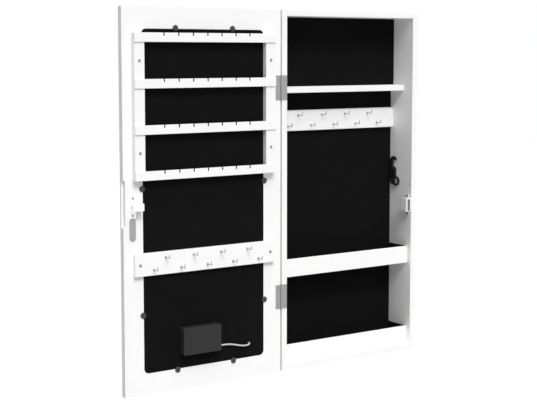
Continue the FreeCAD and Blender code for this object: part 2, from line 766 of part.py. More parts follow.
def faceted_tube(points, radius, sides):
    """A tube of straight facets through the points, mitred where it bends."""
    rings = []
    last = len(points) - 1
    for index, point in enumerate(points):
        before = (point - points[index - 1]).normalize() if index > 0 else None
        after = (points[index + 1] - point).normalize() if index < last else None
        forward = (before or after) + (after or before)
        forward.normalize()
        stretch = 1 / forward.dot(before or after)
        ring = []
        for corner in ring_points(point, forward, radius, sides):
            offset = corner - point
            along_x = Vector(offset.x, 0, 0)
            ring.append(point + along_x + (offset - along_x) * stretch)
        rings.append(ring)
    faces = [Part.Face(Part.makePolygon(ring + [ring[0]])) for ring in (rings[0], rings[-1])]
    for near, far in zip(rings, rings[1:]):
        for index in range(sides):
            after = (index + 1) % sides
            corners = [near[index], near[after], far[after], far[index]]
            faces.append(Part.Face(Part.makePolygon(corners + [corners[0]])))
    return Part.Solid(Part.Shell(faces))


def wire_hook():
    """A hook at the origin that runs along -Y out of its rail and turns up at its tip."""
    radius = float(hook_wire_radius)
    bend = float(hook_bend_radius)
    bend_y = -(float(hook_reach) - radius - bend)
    points = [Vector(0, float(hook_root_depth), 0)]
    for turn in (0, math.pi / 4, math.pi / 2):
        points.append(Vector(0, bend_y - bend * math.sin(turn), bend * (1 - math.cos(turn))))
    points.append(Vector(0, bend_y - bend, float(hook_rise)))
    wire = faceted_tube(points, radius, HOOK_SIDES)
    collar_radius = float(hook_collar_radius)
    collar = faceted_tube([Vector(0, 0, 0), Vector(0, -float(hook_collar_height), 0)],
                          collar_radius, HOOK_SIDES)
    return wire.fuse(collar).removeSplitter()


def hook_copies(name, one, places, face_y):
    """Copies of one solid at each hook's place."""
    copies = []
    for x, z in places:
        copy = one.copy()
        copy.translate(Vector(x, float(face_y), z))
        copies.append(copy)
    feature = document.addObject("Part::Feature", name)
    feature.Shape = Part.makeCompound(copies)
    return feature


def hook_set(name, places, face_y):
    """All the hooks of one rail."""
    return hook_copies(name, wire_hook(), places, face_y)


def hook_holes(name, places, face_y):
    """The drilled holes that the hook wires sit in."""
    length = float(hook_root_depth) + 0.5
    hole = faceted_tube([Vector(0, length, 0), Vector(0, -1, 0)],
                        float(hook_wire_radius) + float(screw_clearance), HOOK_SIDES)
    return hook_copies(name, hole, places, face_y)


def hook_rail(name, corner, length, holes):
    """A board with its front edges eased, drilled for its hooks and screws."""
    board = body(name + "_board")
    section = sketch(board, "YZ_Plane", name + "_section")
    rectangle(section, 0, 0, hook_rail_thickness, hook_rail_height)
    pad(board, section, length, name + "_pad")
    round_edges(board, Vector(1, 0, 0), as_size(1.5), name + "_eased",
                lambda point: point.y < 1e-6)
    place(board, corner)
    return cut(name, board, holes)


inner_rail_top = half_height - inner_rail_drop
inner_rail_face = lining_front - hook_rail_thickness
inner_rail_middle = inner_rail_top - hook_rail_height / 2
inner_hook_places = hook_places(wall_left, inner_width, inner_rail_middle)
node(hook_rail("inner_hook_board", (wall_left, inner_rail_face,
                                    inner_rail_top - hook_rail_height), inner_width,
               hook_holes("inner_hook_holes", inner_hook_places, inner_rail_face)),
     "inner_hook_rail")
node(hook_set("inner_hook_set", inner_hook_places, inner_rail_face), "inner_rail_hooks")

rack_left = door_left + rack_margin
rack_length = cabinet_width - 2 * rack_margin
door_rail_top = -door_rail_drop
door_rail_face = front - hook_rail_thickness
door_rail_middle = door_rail_top - hook_rail_height / 2
door_hook_places = hook_places(rack_left, rack_length, door_rail_middle)
rail_screw = Screw(3.4, 1.8, 1.6, 20)
door_rail_screw_seats = [
    ("left", (rack_left + rail_screw_inset, door_rail_face, door_rail_middle)),
    ("right", (rack_left + rack_length - rail_screw_inset, door_rail_face, door_rail_middle)),
]
door_rail_holes = [rail_screw.hole(f"door_rail_hole_{side}", seat, "+y")
                   for side, seat in door_rail_screw_seats]
door_rail_holes.append(hook_holes("door_hook_holes", door_hook_places, door_rail_face))
node(hook_rail("door_hook_board", (rack_left, door_rail_face,
                                   door_rail_top - hook_rail_height), rack_length,
               door_rail_holes), "door_hook_rail")
node(hook_set("door_hook_set", door_hook_places, door_rail_face), "door_rail_hooks")
node(group("door_rail_screw_set",
           [rail_screw.solid(f"door_rail_screw_{side}", seat, "+y")
            for side, seat in door_rail_screw_seats]), "door_rail_screws")


# ---------------------------------------------------------------- the cast hook
def cast_hook():
    """A flat casting seen in profile on the wall: a hook above, a body, an eye below.

    Its outline lies in the Y-Z plane, with its back edge on y = 0 and its top on z = 0.
    """
    thickness = float(cast_hook_thickness)
    crook = Part.makeCylinder(11, thickness, Vector(0, -11, -11), Vector(1, 0, 0))
    crook = crook.cut(Part.makeCylinder(5, thickness, Vector(0, -12.5, -12.5), Vector(1, 0, 0)))
    crook = crook.cut(Part.makeBox(thickness, 16, 24, Vector(0, -25, -34.5)))
    stem = Part.makeBox(thickness, 8, 26, Vector(0, -8, -36))
    plate = Part.makeBox(thickness, 20, 42, Vector(0, -20, -70))
    upper = [edge for edge in plate.Edges
             if abs(edge.CenterOfMass.y + 20) < 1e-6 and abs(edge.CenterOfMass.z + 28) < 1e-6]
    plate = plate.makeFillet(9, upper)
    boss = Part.makeCylinder(9, thickness, Vector(0, -9, -68), Vector(1, 0, 0))
    eye = Part.makeCylinder(12.5, thickness - 1, Vector(0, -22, -67), Vector(1, 0, 0))
    profile = crook.fuse([stem, plate, boss, eye])
    profile = profile.cut(Part.makeCylinder(8.2, thickness, Vector(0, -22, -67),
                                            Vector(1, 0, 0)))
    return profile.removeSplitter()


hook_casting = document.addObject("Part::Feature", "hook_casting")
hook_casting.Shape = cast_hook()
place(hook_casting, (wall_right - cast_hook_thickness, hook_back, cast_hook_rise))
node(cut("cast_hook_drilled", hook_casting,
         [pan_screw.hole(f"casting_hole_{name}", seat, "+x")
          for name, seat in cast_hook_screw_seats]), "side_hook")
node(group("cast_hook_screw_set",
           [pan_screw.solid(f"cast_hook_screw_{name}", seat, "+x")
            for name, seat in cast_hook_screw_seats]), "side_hook_screws")


# ---------------------------------------------------------------- the magnetic catch
catch_left = wall_right - catch_width
catch_front = front + catch_recess
catch_bottom = catch_level - catch_height / 2
pole_thickness = as_size(1.4)
magnet_thickness = as_size(3)
pole_height = catch_height - 5
pole_depth = catch_depth - 4
pole_stack = 2 * pole_thickness + magnet_thickness
pole_left = catch_left + catch_width / 2 - pole_stack / 2
pole_front = front - closing_gap + strike_thickness + 0.3
pole_bottom = catch_level - pole_height / 2

catch_case = fuse("catch_case", [
    block("catch_case_block", (catch_left, catch_front, catch_bottom),
          (catch_width, catch_depth, catch_height)),
    block("catch_case_ears", (wall_right - 2, catch_front + catch_depth / 2 - 3,
                              catch_level - catch_screw_spacing / 2 - 5),
          (2, 10, catch_screw_spacing + 10)),
])
catch_tools = [block("catch_pole_slot", (pole_left - 0.1, catch_front - 1, pole_bottom - 0.1),
                     (pole_stack + 0.2, pole_depth + 1.1, pole_height + 0.2))]
catch_tools += [small_screw.hole(f"catch_ear_hole_{name}", seat, "+x")
                for name, seat in catch_screw_seats]
node(cut("catch_case_cut", catch_case, catch_tools), "catch_body")
pole_length = catch_front + pole_depth - pole_front
node(group("pole_pair", [
    block("pole_left", (pole_left, pole_front, pole_bottom),
          (pole_thickness, pole_length, pole_height)),
    block("pole_right", (pole_left + pole_thickness + magnet_thickness, pole_front,
                         pole_bottom), (pole_thickness, pole_length, pole_height)),
]), "catch_pole_plates")
node(slab("magnet_block", (pole_left + pole_thickness, catch_front + 1, pole_bottom),
          (magnet_thickness, pole_depth - 1, pole_height)), "catch_magnet")
node(group("catch_screw_set", [small_screw.solid(f"catch_screw_{name}", seat, "+x")
                               for name, seat in catch_screw_seats]), "catch_screws")


# ---------------------------------------------------------------- hinges
def knuckles(name, level, first, radius, length_trim):
    """Every second knuckle of a hinge, starting with the first or the second."""
    pitch = hinge_length / KNUCKLES
    return [rod(f"{name}_{index}",
                (hinge_x, hinge_y, level - hinge_length / 2 + pitch * index + length_trim / 2),
                "+z", radius, pitch - length_trim)
            for index in range(first, KNUCKLES, 2)]


def hinge_leaf(side, end, level):
    """A leaf with its knuckles, notched where the other leaf's knuckles turn."""
    name = f"{side}_leaf_{end}"
    first = 0 if side == "cabinet" else 1
    leaf_left = hinge_x if side == "cabinet" else hinge_x - leaf_reach
    pitch = hinge_length / KNUCKLES
    plate = block(name + "_plate",
                  (leaf_left, front - leaf_thickness, level - hinge_length / 2),
                  (leaf_reach, leaf_thickness, hinge_length))
    reliefs = [block(f"{name}_relief_{index}",
                     (hinge_x - knuckle_radius - 0.5, front - 2 * closing_gap,
                      level - hinge_length / 2 + pitch * index - knuckle_clearance / 2),
                     (2 * knuckle_radius + 1, 4 * closing_gap, pitch + knuckle_clearance))
               for index in range(1 - first, KNUCKLES, 2)]
    blank = fuse(name + "_blank",
                 [plate] + knuckles(name + "_knuckle", level, first, knuckle_radius,
                                    knuckle_clearance))
    holes = [rod(name + "_bore", (hinge_x, hinge_y, level - hinge_length / 2 - 1), "+z",
                 hinge_pin_radius + running_clearance, hinge_length + 2)]
    for place_name, seat in hinge_screw_seats(side):
        if place_name.startswith(end):
            holes.append(hinge_screw.hole(f"{name}_hole_{place_name}", seat, "+y"))
    return cut(name, blank, reliefs + holes)


for side in ("cabinet", "door"):
    node(group(f"{side}_leaf_pair", [hinge_leaf(side, end, level)
                                     for end, level in hinge_levels.items()]),
         f"hinge_leaves_{side}")
node(group("hinge_pin_pair",
           [rod(f"hinge_pin_{name}", (hinge_x, hinge_y, level - hinge_length / 2 - 0.6), "+z",
                hinge_pin_radius, hinge_length + 1.2)
            for name, level in hinge_levels.items()]), "hinge_pins")
for side in ("cabinet", "door"):
    node(group(f"{side}_hinge_screw_set",
               [hinge_screw.solid(f"{side}_hinge_screw_{place_name}", seat, "+y")
                for place_name, seat in hinge_screw_seats(side)]),
         f"hinge_screws_{side}")


# ---------------------------------------------------------------- fittings on the door's edge
lock_case_left = door_left + panel_thickness + lock_wall_clearance
lock_axis_x = lock_case_left + lock_axis_inset
lock_flange_left = lock_case_left
lock_screw_x = lock_flange_left + lock_flange_width / 2
lock_screw_seats = [
    ("top", (lock_screw_x, front - lock_flange_thickness, lock_level + lock_screw_spacing / 2)),
    ("bottom", (lock_screw_x, front - lock_flange_thickness,
                lock_level - lock_screw_spacing / 2)),
]
strike_level = catch_level
strike_screw_seats = [
    ("top", (door_fitting_x, front - strike_thickness,
             strike_level + strike_screw_spacing / 2)),
    ("bottom", (door_fitting_x, front - strike_thickness,
                strike_level - strike_screw_spacing / 2)),
]
strike_screw = Screw(2.6, strike_thickness, 1.3, 11, flush=True)

backing_left = door_left + opening_margin
backing_width = cabinet_width - 2 * opening_margin
backing_bottom = -half_height + opening_margin
backing_height = cabinet_height - 2 * opening_margin
clip_left = backing_left - clip_offset
clip_right = backing_left + backing_width + clip_offset
clip_places = [
    ("left_upper", clip_left, upper_clip_rise),
    ("left_lower", clip_left, -lower_clip_drop),
    ("right_upper", clip_right, upper_clip_rise),
    ("right_lower", clip_right, -lower_clip_drop),
]
for row, height in (("top", backing_bottom + backing_height + clip_offset),
                    ("bottom", backing_bottom - clip_offset)):
    clip_places.append((f"{row}_left", door_middle - clip_spacing / 2, height))
    clip_places.append((f"{row}_right", door_middle + clip_spacing / 2, height))
clip_screw_seats = [(name, (x, front - clip_thickness, z)) for name, x, z in clip_places]

rack_bottom = rack_bottom_rise
rack_top = half_height - rack_top_drop
rack_height = rack_top - rack_bottom
bar_pitch = (rack_height - rack_bar_height) / 3
rack_face = front - rack_rail_thickness
rack_screw = Screw(3.2, 1.8, 1.6, 24)
rack_rail_lefts = {"left": rack_left, "right": rack_left + rack_length - rack_rail_width}
rack_screw_seats = []
for side, x in rack_rail_lefts.items():
    for row, gap in (("top", 2), ("bottom", 0)):
        z = rack_bottom + rack_bar_height + bar_pitch * gap + (bar_pitch - rack_bar_height) / 2
        rack_screw_seats.append((f"{side}_{row}", (x + rack_rail_width / 2, rack_face, z)))


# ---------------------------------------------------------------- the door frame
def door_board():
    """The frame board with the mirror opening, its two rebates and the finger pull."""
    board = body("door_board")
    outline = sketch(board, "XZ_Plane", "door_outline")
    rectangle(outline, 0, 0, cabinet_width, cabinet_height)
    pad(board, outline, door_thickness, "door_pad", rearward=True)
    lip = glass_step + front_lip_width
    through = sketch(board, "XZ_Plane", "door_through_outline")
    margin = opening_margin + lip
    rectangle(through, margin, margin, cabinet_width - 2 * margin, cabinet_height - 2 * margin)
    pocket(board, through, door_thickness, "door_through", rearward=True)
    seat = sketch(board, "XZ_Plane", "door_glass_outline")
    margin = opening_margin + glass_step
    rectangle(seat, margin, margin, cabinet_width - 2 * margin, cabinet_height - 2 * margin)
    pocket(board, seat, door_thickness - front_lip_thickness, "door_glass_rebate", rearward=True)
    rebate = sketch(board, "XZ_Plane", "door_backing_outline")
    margin = opening_margin
    rectangle(rebate, margin, margin, cabinet_width - 2 * margin, cabinet_height - 2 * margin)
    pocket(board, rebate, backing_thickness, "door_backing_rebate", rearward=True)
    near = float(opening_margin) + 1
    far_x = float(cabinet_width) - near
    far_z = float(cabinet_height) - near

    def at_rebate_corner(point):
        at_side = point.x < near or point.x > far_x
        at_end = point.z < near or point.z > far_z
        return at_side and at_end and 1 < point.x < float(cabinet_width) - 1

    round_edges(board, Vector(0, 1, 0), opening_corner, "door_rebate_corners",
                at_rebate_corner)
    pull = sketch(board, "XZ_Plane", "door_pull_outline")
    pull_bottom = cabinet_height / 2 + pull_rise - pull_length / 2
    rectangle(pull, 0, pull_bottom, pull_width, pull_length)
    pocket(board, pull, pull_depth, "door_pull", rearward=True)

    def at_pull_corner(point):
        return abs(point.x - float(pull_width)) < 1e-6

    round_edges(board, Vector(0, 1, 0), pull_width - 0.5, "door_pull_corners", at_pull_corner)
    return place(board, (door_left, front, -half_height))


door_holes = [rod("lock_barrel_hole", (lock_axis_x, front - 1, lock_level), "+y",
                  lock_barrel_radius + 0.1, door_thickness + 2)]
door_holes += [small_screw.hole(f"lock_hole_{name}", seat, "+y") for name, seat in lock_screw_seats]
door_holes += hinge_screw_holes("door", "door_hinge_hole")
door_holes += [strike_screw.hole(f"strike_hole_{name}", seat, "+y")
               for name, seat in strike_screw_seats]
door_holes += [small_screw.hole(f"clip_hole_{name}", seat, "+y") for name, seat in clip_screw_seats]
door_holes += [rack_screw.hole(f"rack_hole_{name}", seat, "+y") for name, seat in rack_screw_seats]
door_holes += [rail_screw.hole(f"frame_rail_hole_{name}", seat, "+y")
               for name, seat in door_rail_screw_seats]
node(cut("door_frame_cut", door_board(), door_holes), "door_frame")

# the mirror and what lies behind it
glass_left = backing_left + glass_step + glass_clearance
glass_bottom = backing_bottom + glass_step + glass_clearance
glass_width = backing_width - 2 * glass_step - 2 * glass_clearance
glass_height = backing_height - 2 * glass_step - 2 * glass_clearance
glass_back = door_front - front_lip_thickness - glass_thickness
node(slab("glass_sheet", (glass_left, glass_back, glass_bottom),
          (glass_width, glass_thickness, glass_height)), "mirror_glass")
spacer_front = front + backing_thickness
spacer_depth = glass_back - spacer_front
spacer_outside = block("spacer_outside", (glass_left, spacer_front, glass_bottom),
                       (glass_width, spacer_depth, glass_height))
spacer_hollow = block("spacer_hollow",
                      (glass_left + spacer_width, spacer_front - 1, glass_bottom + spacer_width),
                      (glass_width - 2 * spacer_width, spacer_depth + 2,
                       glass_height - 2 * spacer_width))
node(cut("spacer_ring", spacer_outside, spacer_hollow), "mirror_spacer")


def light_strip(name, x):
    """A tape behind the glass, on the backing, with its lamps fused on."""
    length = glass_height - 2 * spacer_width - 40
    bottom = glass_bottom + spacer_width + 20
    tape = block(name + "_tape", (x, spacer_front, bottom),
                 (light_tape_width, light_tape_thickness, length))
    count = int(float(length) // float(light_spacing)) + 1
    start = (length - light_spacing * (count - 1)) / 2 - 2
    lamps = [block(f"{name}_lamp_{index}",
                   (x + light_tape_width / 2 - 2, spacer_front + light_tape_thickness,
                    bottom + start + light_spacing * index), (4, 1.4, 4))
             for index in range(count)]
    return fuse(name, [tape] + lamps)


light_left = glass_left + spacer_width + light_tape_inset
light_right = glass_left + glass_width - spacer_width - light_tape_inset - light_tape_width
node(group("light_strip_pair", [light_strip("light_strip_left", light_left),
                                light_strip("light_strip_right", light_right)]),
     "light_strips")

# ---------------------------------------------------------------- the battery box
box_left = door_middle - battery_box_offset - battery_box_width / 2
box_bottom = -half_height + battery_box_rise
box_back = front - battery_pad_thickness
box_front = box_back - battery_box_depth
cover_back = box_front + battery_cover_thickness
lead_x = box_left + battery_box_width

backing_board = slab(
    "backing_board",
    (backing_left + glass_clearance, front, backing_bottom + glass_clearance),
    (backing_width - 2 * glass_clearance, backing_thickness,
     backing_height - 2 * glass_clearance),
    opening_corner - glass_clearance,
)
node(cut("backing_cut", backing_board,
         [rod("lead_hole", (lead_x + lead_run, front - 1, box_bottom + lead_hole_rise), "+y",
              lead_radius + 0.2, backing_thickness + 2)]), "mirror_backing")
node(slab("battery_pad_sheet", (box_left + 6, box_back, box_bottom + 6),
          (battery_box_width - 12, battery_pad_thickness, battery_box_height - 12)),
     "battery_pad")


def battery_case():
    """A moulded tray with rounded corners: a bay for the cells and one for the switch."""
    case = body("battery_case")
    outline = sketch(case, "XZ_Plane", "battery_outline")
    rectangle(outline, 0, 0, battery_box_width, battery_box_height)
    depth = battery_box_depth - battery_cover_thickness
    pad(case, outline, depth, "battery_pad_feature")
    round_edges(case, Vector(0, 1, 0), as_size(4), "battery_corners")
    cells = sketch(case, "XZ_Plane", "battery_cells_outline")
    rectangle(cells, battery_wall, battery_wall, cell_length + 5,
              battery_box_height - 2 * battery_wall)
    cells.AttachmentOffset = Placement(Vector(0, 0, float(battery_wall)), Rotation())
    bind(cells, AttachmentOffset__Base__z=battery_wall)
    pocket(case, cells, depth, "battery_cells_bay")
    other = sketch(case, "XZ_Plane", "battery_switch_outline")
    divider = cell_length + 5 + 2 * battery_wall
    rectangle(other, divider, battery_wall, battery_box_width - divider - battery_wall,
              battery_box_height - 2 * battery_wall)
    bind(other, AttachmentOffset__Base__z=battery_wall)
    pocket(case, other, depth, "battery_switch_bay")
    return place(case, (box_left, box_back, box_bottom))


switch_z = box_bottom + battery_box_height - 24
switch_y = box_back - 7
switch_slot = block("switch_slot",
                    (lead_x - battery_wall - 1, switch_y - 2.6 - switch_travel, switch_z - 3),
                    (battery_wall + 2, 5.2 + switch_travel, 6))
lead_outlet = rod("lead_outlet",
                  (lead_x - battery_wall - 1, front - lead_rise, box_bottom + lead_exit_rise),
                  "+x", lead_radius + 0.15, battery_wall + 2)
node(cut("battery_case_cut", battery_case(), [switch_slot, lead_outlet]), "battery_box")
node(slab("battery_lid", (box_left, box_front, box_bottom),
          (battery_box_width, battery_cover_thickness, battery_box_height), as_size(4)),
     "battery_cover")
cell_y = box_back - battery_wall - cell_radius - 0.3
node(group("cell_set",
           [prism(f"cell_{index}",
                  (box_left + battery_wall + 2.5, cell_y,
                   box_bottom + battery_box_height / 2 + cell_pitch * (index - 1.5)),
                  "+x", CELL_SIDES, cell_radius, cell_length)
            for index in range(4)]), "battery_cells")
node(slab("driver_sheet", (box_left + cell_length + 5 + 2 * battery_wall + 3,
                           box_back - battery_wall - 1.9, box_bottom + 16),
          (24, 1.6, battery_box_height - 22)), "light_driver_board")

# the thumb-slide of the switch, which travels along Y in its slot
node(fuse("switch_slide_body", [
    block("switch_slide_stem", (lead_x - battery_wall - 2, switch_y - 2.4, switch_z - 2.8),
          (battery_wall + 3.6, 4.8, 5.6)),
    block("switch_slide_foot", (lead_x - battery_wall - 3, switch_y - 3.4, switch_z - 4),
          (2.8, 6.8, 8)),
]), "switch_slider")


# ---------------------------------------------------------------- the lead
def tangent_arc_route(points, reach=0.45):
    """Straight runs joined by tangent arcs; an arc's size follows its shorter run."""
    edges = []
    last = points[0]
    for before, corner, after in zip(points, points[1:], points[2:]):
        arrive = (corner - before).normalize()
        leave = (after - corner).normalize()
        turn = arrive.getAngle(leave)
        shorter = min((corner - before).Length, (after - corner).Length)
        trim = reach * shorter
        radius = trim / math.tan(turn / 2)
        print(f"lead arc radius {radius:.1f} mm")
        start = corner - arrive * trim
        end = corner + leave * trim
        inward = (leave - arrive).normalize()
        centre = corner + inward * math.hypot(radius, trim)
        middle = centre - inward * radius
        edges.append(Part.LineSegment(last, start).toShape())
        edges.append(Part.Arc(start, middle, end).toShape())
        last = end
    edges.append(Part.LineSegment(last, points[-1]).toShape())
    return Part.Wire(edges)


def lead_solid():
    """The short lead from the battery box to its hole in the backing board."""
    exit_x = float(lead_x)
    door_face = float(front)
    foot = float(box_bottom)
    route = [Vector(exit_x + along, door_face - out, foot + up) for along, out, up in (
        (-0.6, float(lead_rise), float(lead_exit_rise)),
        (17, float(lead_rise) + 0.2, float(lead_exit_rise) + 0.4),
        (34, float(lead_rise) + 0.4, 7.0),
        (51, float(lead_rise) + 0.7, 3.0),
        (67, float(lead_rise) + 1.6, -1.0),
        (81, float(lead_rise) + 3.0, -1.9),
        (float(lead_run), float(lead_rise) + 2.4, float(lead_hole_rise)),
        (float(lead_run), -4.0, float(lead_hole_rise)),
    )]
    path = tangent_arc_route(route)
    radius = float(lead_radius)
    turns = [2 * math.pi * (index + 0.5) / LEAD_SIDES for index in range(LEAD_SIDES)]
    corners = [route[0] + Vector(0, radius * math.cos(turn), radius * math.sin(turn))
               for turn in turns]
    section = Part.Face(Part.makePolygon(corners + [corners[0]]))
    tube = path.makePipe(section)
    expected = section.Area * path.Length
    print(f"lead length {path.Length:.1f} mm, volume {tube.Volume:.0f} of {expected:.0f}")
    return tube


lead_feature = document.addObject("Part::Feature", "lead_tube")
lead_feature.Shape = lead_solid()
node(lead_feature, "light_lead")

# ---------------------------------------------------------------- rack on the door
for side, x in rack_rail_lefts.items():
    upright = body(f"rack_upright_{side}")
    section = sketch(upright, "XY_Plane", f"rack_section_{side}")
    rectangle(section, 0, 0, rack_rail_width, rack_rail_thickness)
    pad(upright, section, rack_height, f"rack_upright_pad_{side}")
    round_edges(upright, Vector(0, 0, 1), as_size(1.2), f"rack_upright_eased_{side}",
                lambda point: point.y < 1e-6)
    place(upright, (x, rack_face, rack_bottom))
    holes = [rack_screw.hole(f"upright_hole_{name}", seat, "+y")
             for name, seat in rack_screw_seats if name.startswith(side)]
    node(cut(f"rack_upright_cut_{side}", upright, holes), f"rack_rail_{side}")

for index in range(4):
    bar = body(f"notched_bar_{index + 1}")
    outline = sketch(bar, "XZ_Plane", f"bar_outline_{index + 1}")
    rectangle(outline, 0, 0, rack_length, rack_bar_height)
    pad(bar, outline, rack_bar_thickness, f"bar_pad_{index + 1}")
    notch = sketch(bar, "XZ_Plane", f"notch_outline_{index + 1}")
    first_notch = rack_length / 2 - 3 * notch_spacing - notch_width / 2
    rectangle(notch, first_notch, rack_bar_height - notch_depth, notch_width, notch_depth + 1)
    notch_cut = pocket(bar, notch, rack_bar_thickness, f"notch_cut_{index + 1}")
    if bar.Shape.BoundBox.ZMax < 0:
        raise ValueError("bar outline lies below its origin")
    pattern = bar.newObject("PartDesign::LinearPattern", f"notch_row_{index + 1}")
    pattern.Originals = [notch_cut]
    pattern.Direction = (notch, ["H_Axis"])
    pattern.Occurrences = 7
    bind(pattern, Length=6 * notch_spacing)
    bar.Tip = pattern
    place(bar, (rack_left, rack_face, rack_bottom + bar_pitch * (3 - index)))
    node(bar, f"rack_bar_{index + 1}")
node(group("rack_screw_set", [rack_screw.solid(f"rack_screw_{name}", seat, "+y")
                              for name, seat in rack_screw_seats]), "rack_screws")


# ---------------------------------------------------------------- clips, counter-plate
def clip_disc(name, seat):
    """A flat disc, half over the frame and half over the backing, held by one screw."""
    disc = prism(f"clip_{name}", (seat[0], front, seat[2]), "-y", CLIP_SIDES, clip_radius,
                 clip_thickness)
    return cut(f"clip_drilled_{name}", disc,
               [small_screw.hole(f"clip_through_{name}", seat, "+y")])


node(group("clip_set", [clip_disc(name, seat) for name, seat in clip_screw_seats]),
     "mirror_clips")
node(group("clip_screw_set", [small_screw.solid(f"clip_screw_{name}", seat, "+y")
                              for name, seat in clip_screw_seats]), "clip_screws")

plate = body("strike_blank")
outline = sketch(plate, "XZ_Plane", "strike_outline")
rectangle(outline, -strike_width / 2, -strike_height / 2, strike_width, strike_height)
pad(plate, outline, strike_thickness, "strike_pad")
round_edges(plate, Vector(0, 1, 0), strike_width / 2 - 0.05, "strike_ends")
place(plate, (door_fitting_x, front, strike_level))
node(cut("strike_cut", plate,
         [strike_screw.hole(f"strike_seat_{name}", seat, "+y")
          for name, seat in strike_screw_seats]), "strike_plate")
node(group("strike_screw_set", [strike_screw.solid(f"strike_screw_{name}", seat, "+y")
                                for name, seat in strike_screw_seats]), "strike_screws")

# ---------------------------------------------------------------- the lock
room_half_depth = as_size(2.4)
cam_front = front - bolt_depth + bolt_radius + 0.3
cam_back = cam_front + cam_thickness
bolt_tab_width = as_size(9)
pin_offset = math.sqrt(0.5) * cam_pin_orbit
tab_left = lock_axis_x + pin_offset - bolt_tab_width / 2
lock_parts = [
    block("lock_flange", (lock_flange_left, front - lock_flange_thickness,
                          lock_level - lock_flange_height / 2),
          (lock_flange_width, lock_flange_thickness, lock_flange_height)),
    block("lock_case", (lock_case_left, front - lock_case_depth,
                        lock_level - lock_case_height / 2),
          (lock_case_width, lock_case_depth, lock_case_height)),
    rod("lock_barrel", (lock_axis_x, front - 1, lock_level), "+y", lock_barrel_radius,
        door_thickness + 1),
]
room_left = tab_left - bolt_throw - 0.6
lock_tools = [
    rod("plug_bore", (lock_axis_x, cam_back, lock_level), "+y",
        plug_radius + running_clearance, door_front - cam_back + 1),
    rod("cam_room", (lock_axis_x, bolt_y + room_half_depth - 0.1, lock_level), "+y",
        cam_radius + 0.3, cam_back - bolt_y - room_half_depth + 0.4),
    block("bolt_room", (room_left, bolt_y - room_half_depth, lock_level - 7),
          (tab_left + bolt_tab_width + 0.6 - room_left, 2 * room_half_depth, 12.4)),
    rod("bolt_bore", (lock_case_left - 1, bolt_y, lock_level), "+x",
        bolt_radius + running_clearance, tab_left + 3 - lock_case_left),
]
lock_tools += [small_screw.hole(f"lock_flange_hole_{name}", seat, "+y")
               for name, seat in lock_screw_seats]
node(cut("lock_case_cut", fuse("lock_case_blank", lock_parts), lock_tools), "lock_body")
node(group("lock_screw_set", [small_screw.solid(f"lock_screw_{name}", seat, "+y")
                              for name, seat in lock_screw_seats]), "lock_screws")

plug_front = door_front + 0.6
plug_blank = fuse("plug_blank", [
    rod("plug_shaft", (lock_axis_x, cam_back - 0.2, lock_level), "+y", plug_radius,
        plug_front - cam_back + 0.2),
    rod("plug_cam", (lock_axis_x, cam_front, lock_level), "+y", cam_radius, cam_thickness),
    rod("plug_pin", (lock_axis_x + pin_offset, cam_front + 0.4, lock_level - pin_offset),
        "-y", cam_pin_radius, bolt_radius + 1.8),
])
node(cut("plug_cut", plug_blank,
         [block("key_slot", (lock_axis_x - 3.4, plug_front - 9, lock_level - 0.8),
                (6.8, 10, 1.6))]), "lock_cylinder")

pin_play = as_size(0.45)
notch_half = cam_pin_radius + pin_play
notch_bottom = as_size(-6)
bolt_blank = fuse("bolt_blank", [
    rod("bolt_rod", (lock_case_left, bolt_y, lock_level), "+x", bolt_radius,
        tab_left - lock_case_left + 1),
    block("bolt_tab", (tab_left, bolt_y - 2, lock_level - 5), (bolt_tab_width, 4, 10)),
])
node(cut("bolt_cut", bolt_blank,
         [block("bolt_notch", (lock_axis_x + pin_offset - notch_half, bolt_y - 3,
                               lock_level + notch_bottom),
                (2 * notch_half, 6, cam_pin_radius + pin_play - pin_offset - notch_bottom))]),
     "lock_bolt")

# ---------------------------------------------------------------- check and export
document.recompute()
for item in document.Objects:
    if "Invalid" in item.State or "Error" in item.State:
        raise ValueError(f"{item.Name} failed: {item.State}")

os.makedirs("parts", exist_ok=True)
total_triangles = 0
for piece in nodes:
    shape = piece.Shape
    if shape.isNull() or not shape.isValid() or not shape.Solids:
        raise ValueError(f"{piece.Label} has no valid solid")
    _, triangles = shape.tessellate(0.1)
    total_triangles += len(triangles)
    shape.exportStep(f"parts/{piece.Label}.step")
    print(f"{piece.Label}: {len(shape.Solids)} solid(s), {len(triangles)} triangles")
print(f"{len(nodes)} nodes, about {total_triangles} triangles")
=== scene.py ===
# %% [markdown]
# # A jewelry cabinet with a mirror door
#
# The real object is a shallow white cabinet that hangs on a wall. Its door carries a mirror outside and racks,
# hooks and a small lamp box inside, and it stands open here, swung right round to the left.
# The construction arrives as finished CAD bodies, at real size and in metres. This lesson dresses them:
# it softens the edges, turns real screws and hooks, and gives every surface a finish of its own.

# %% Load the fixed frame
import json
import math

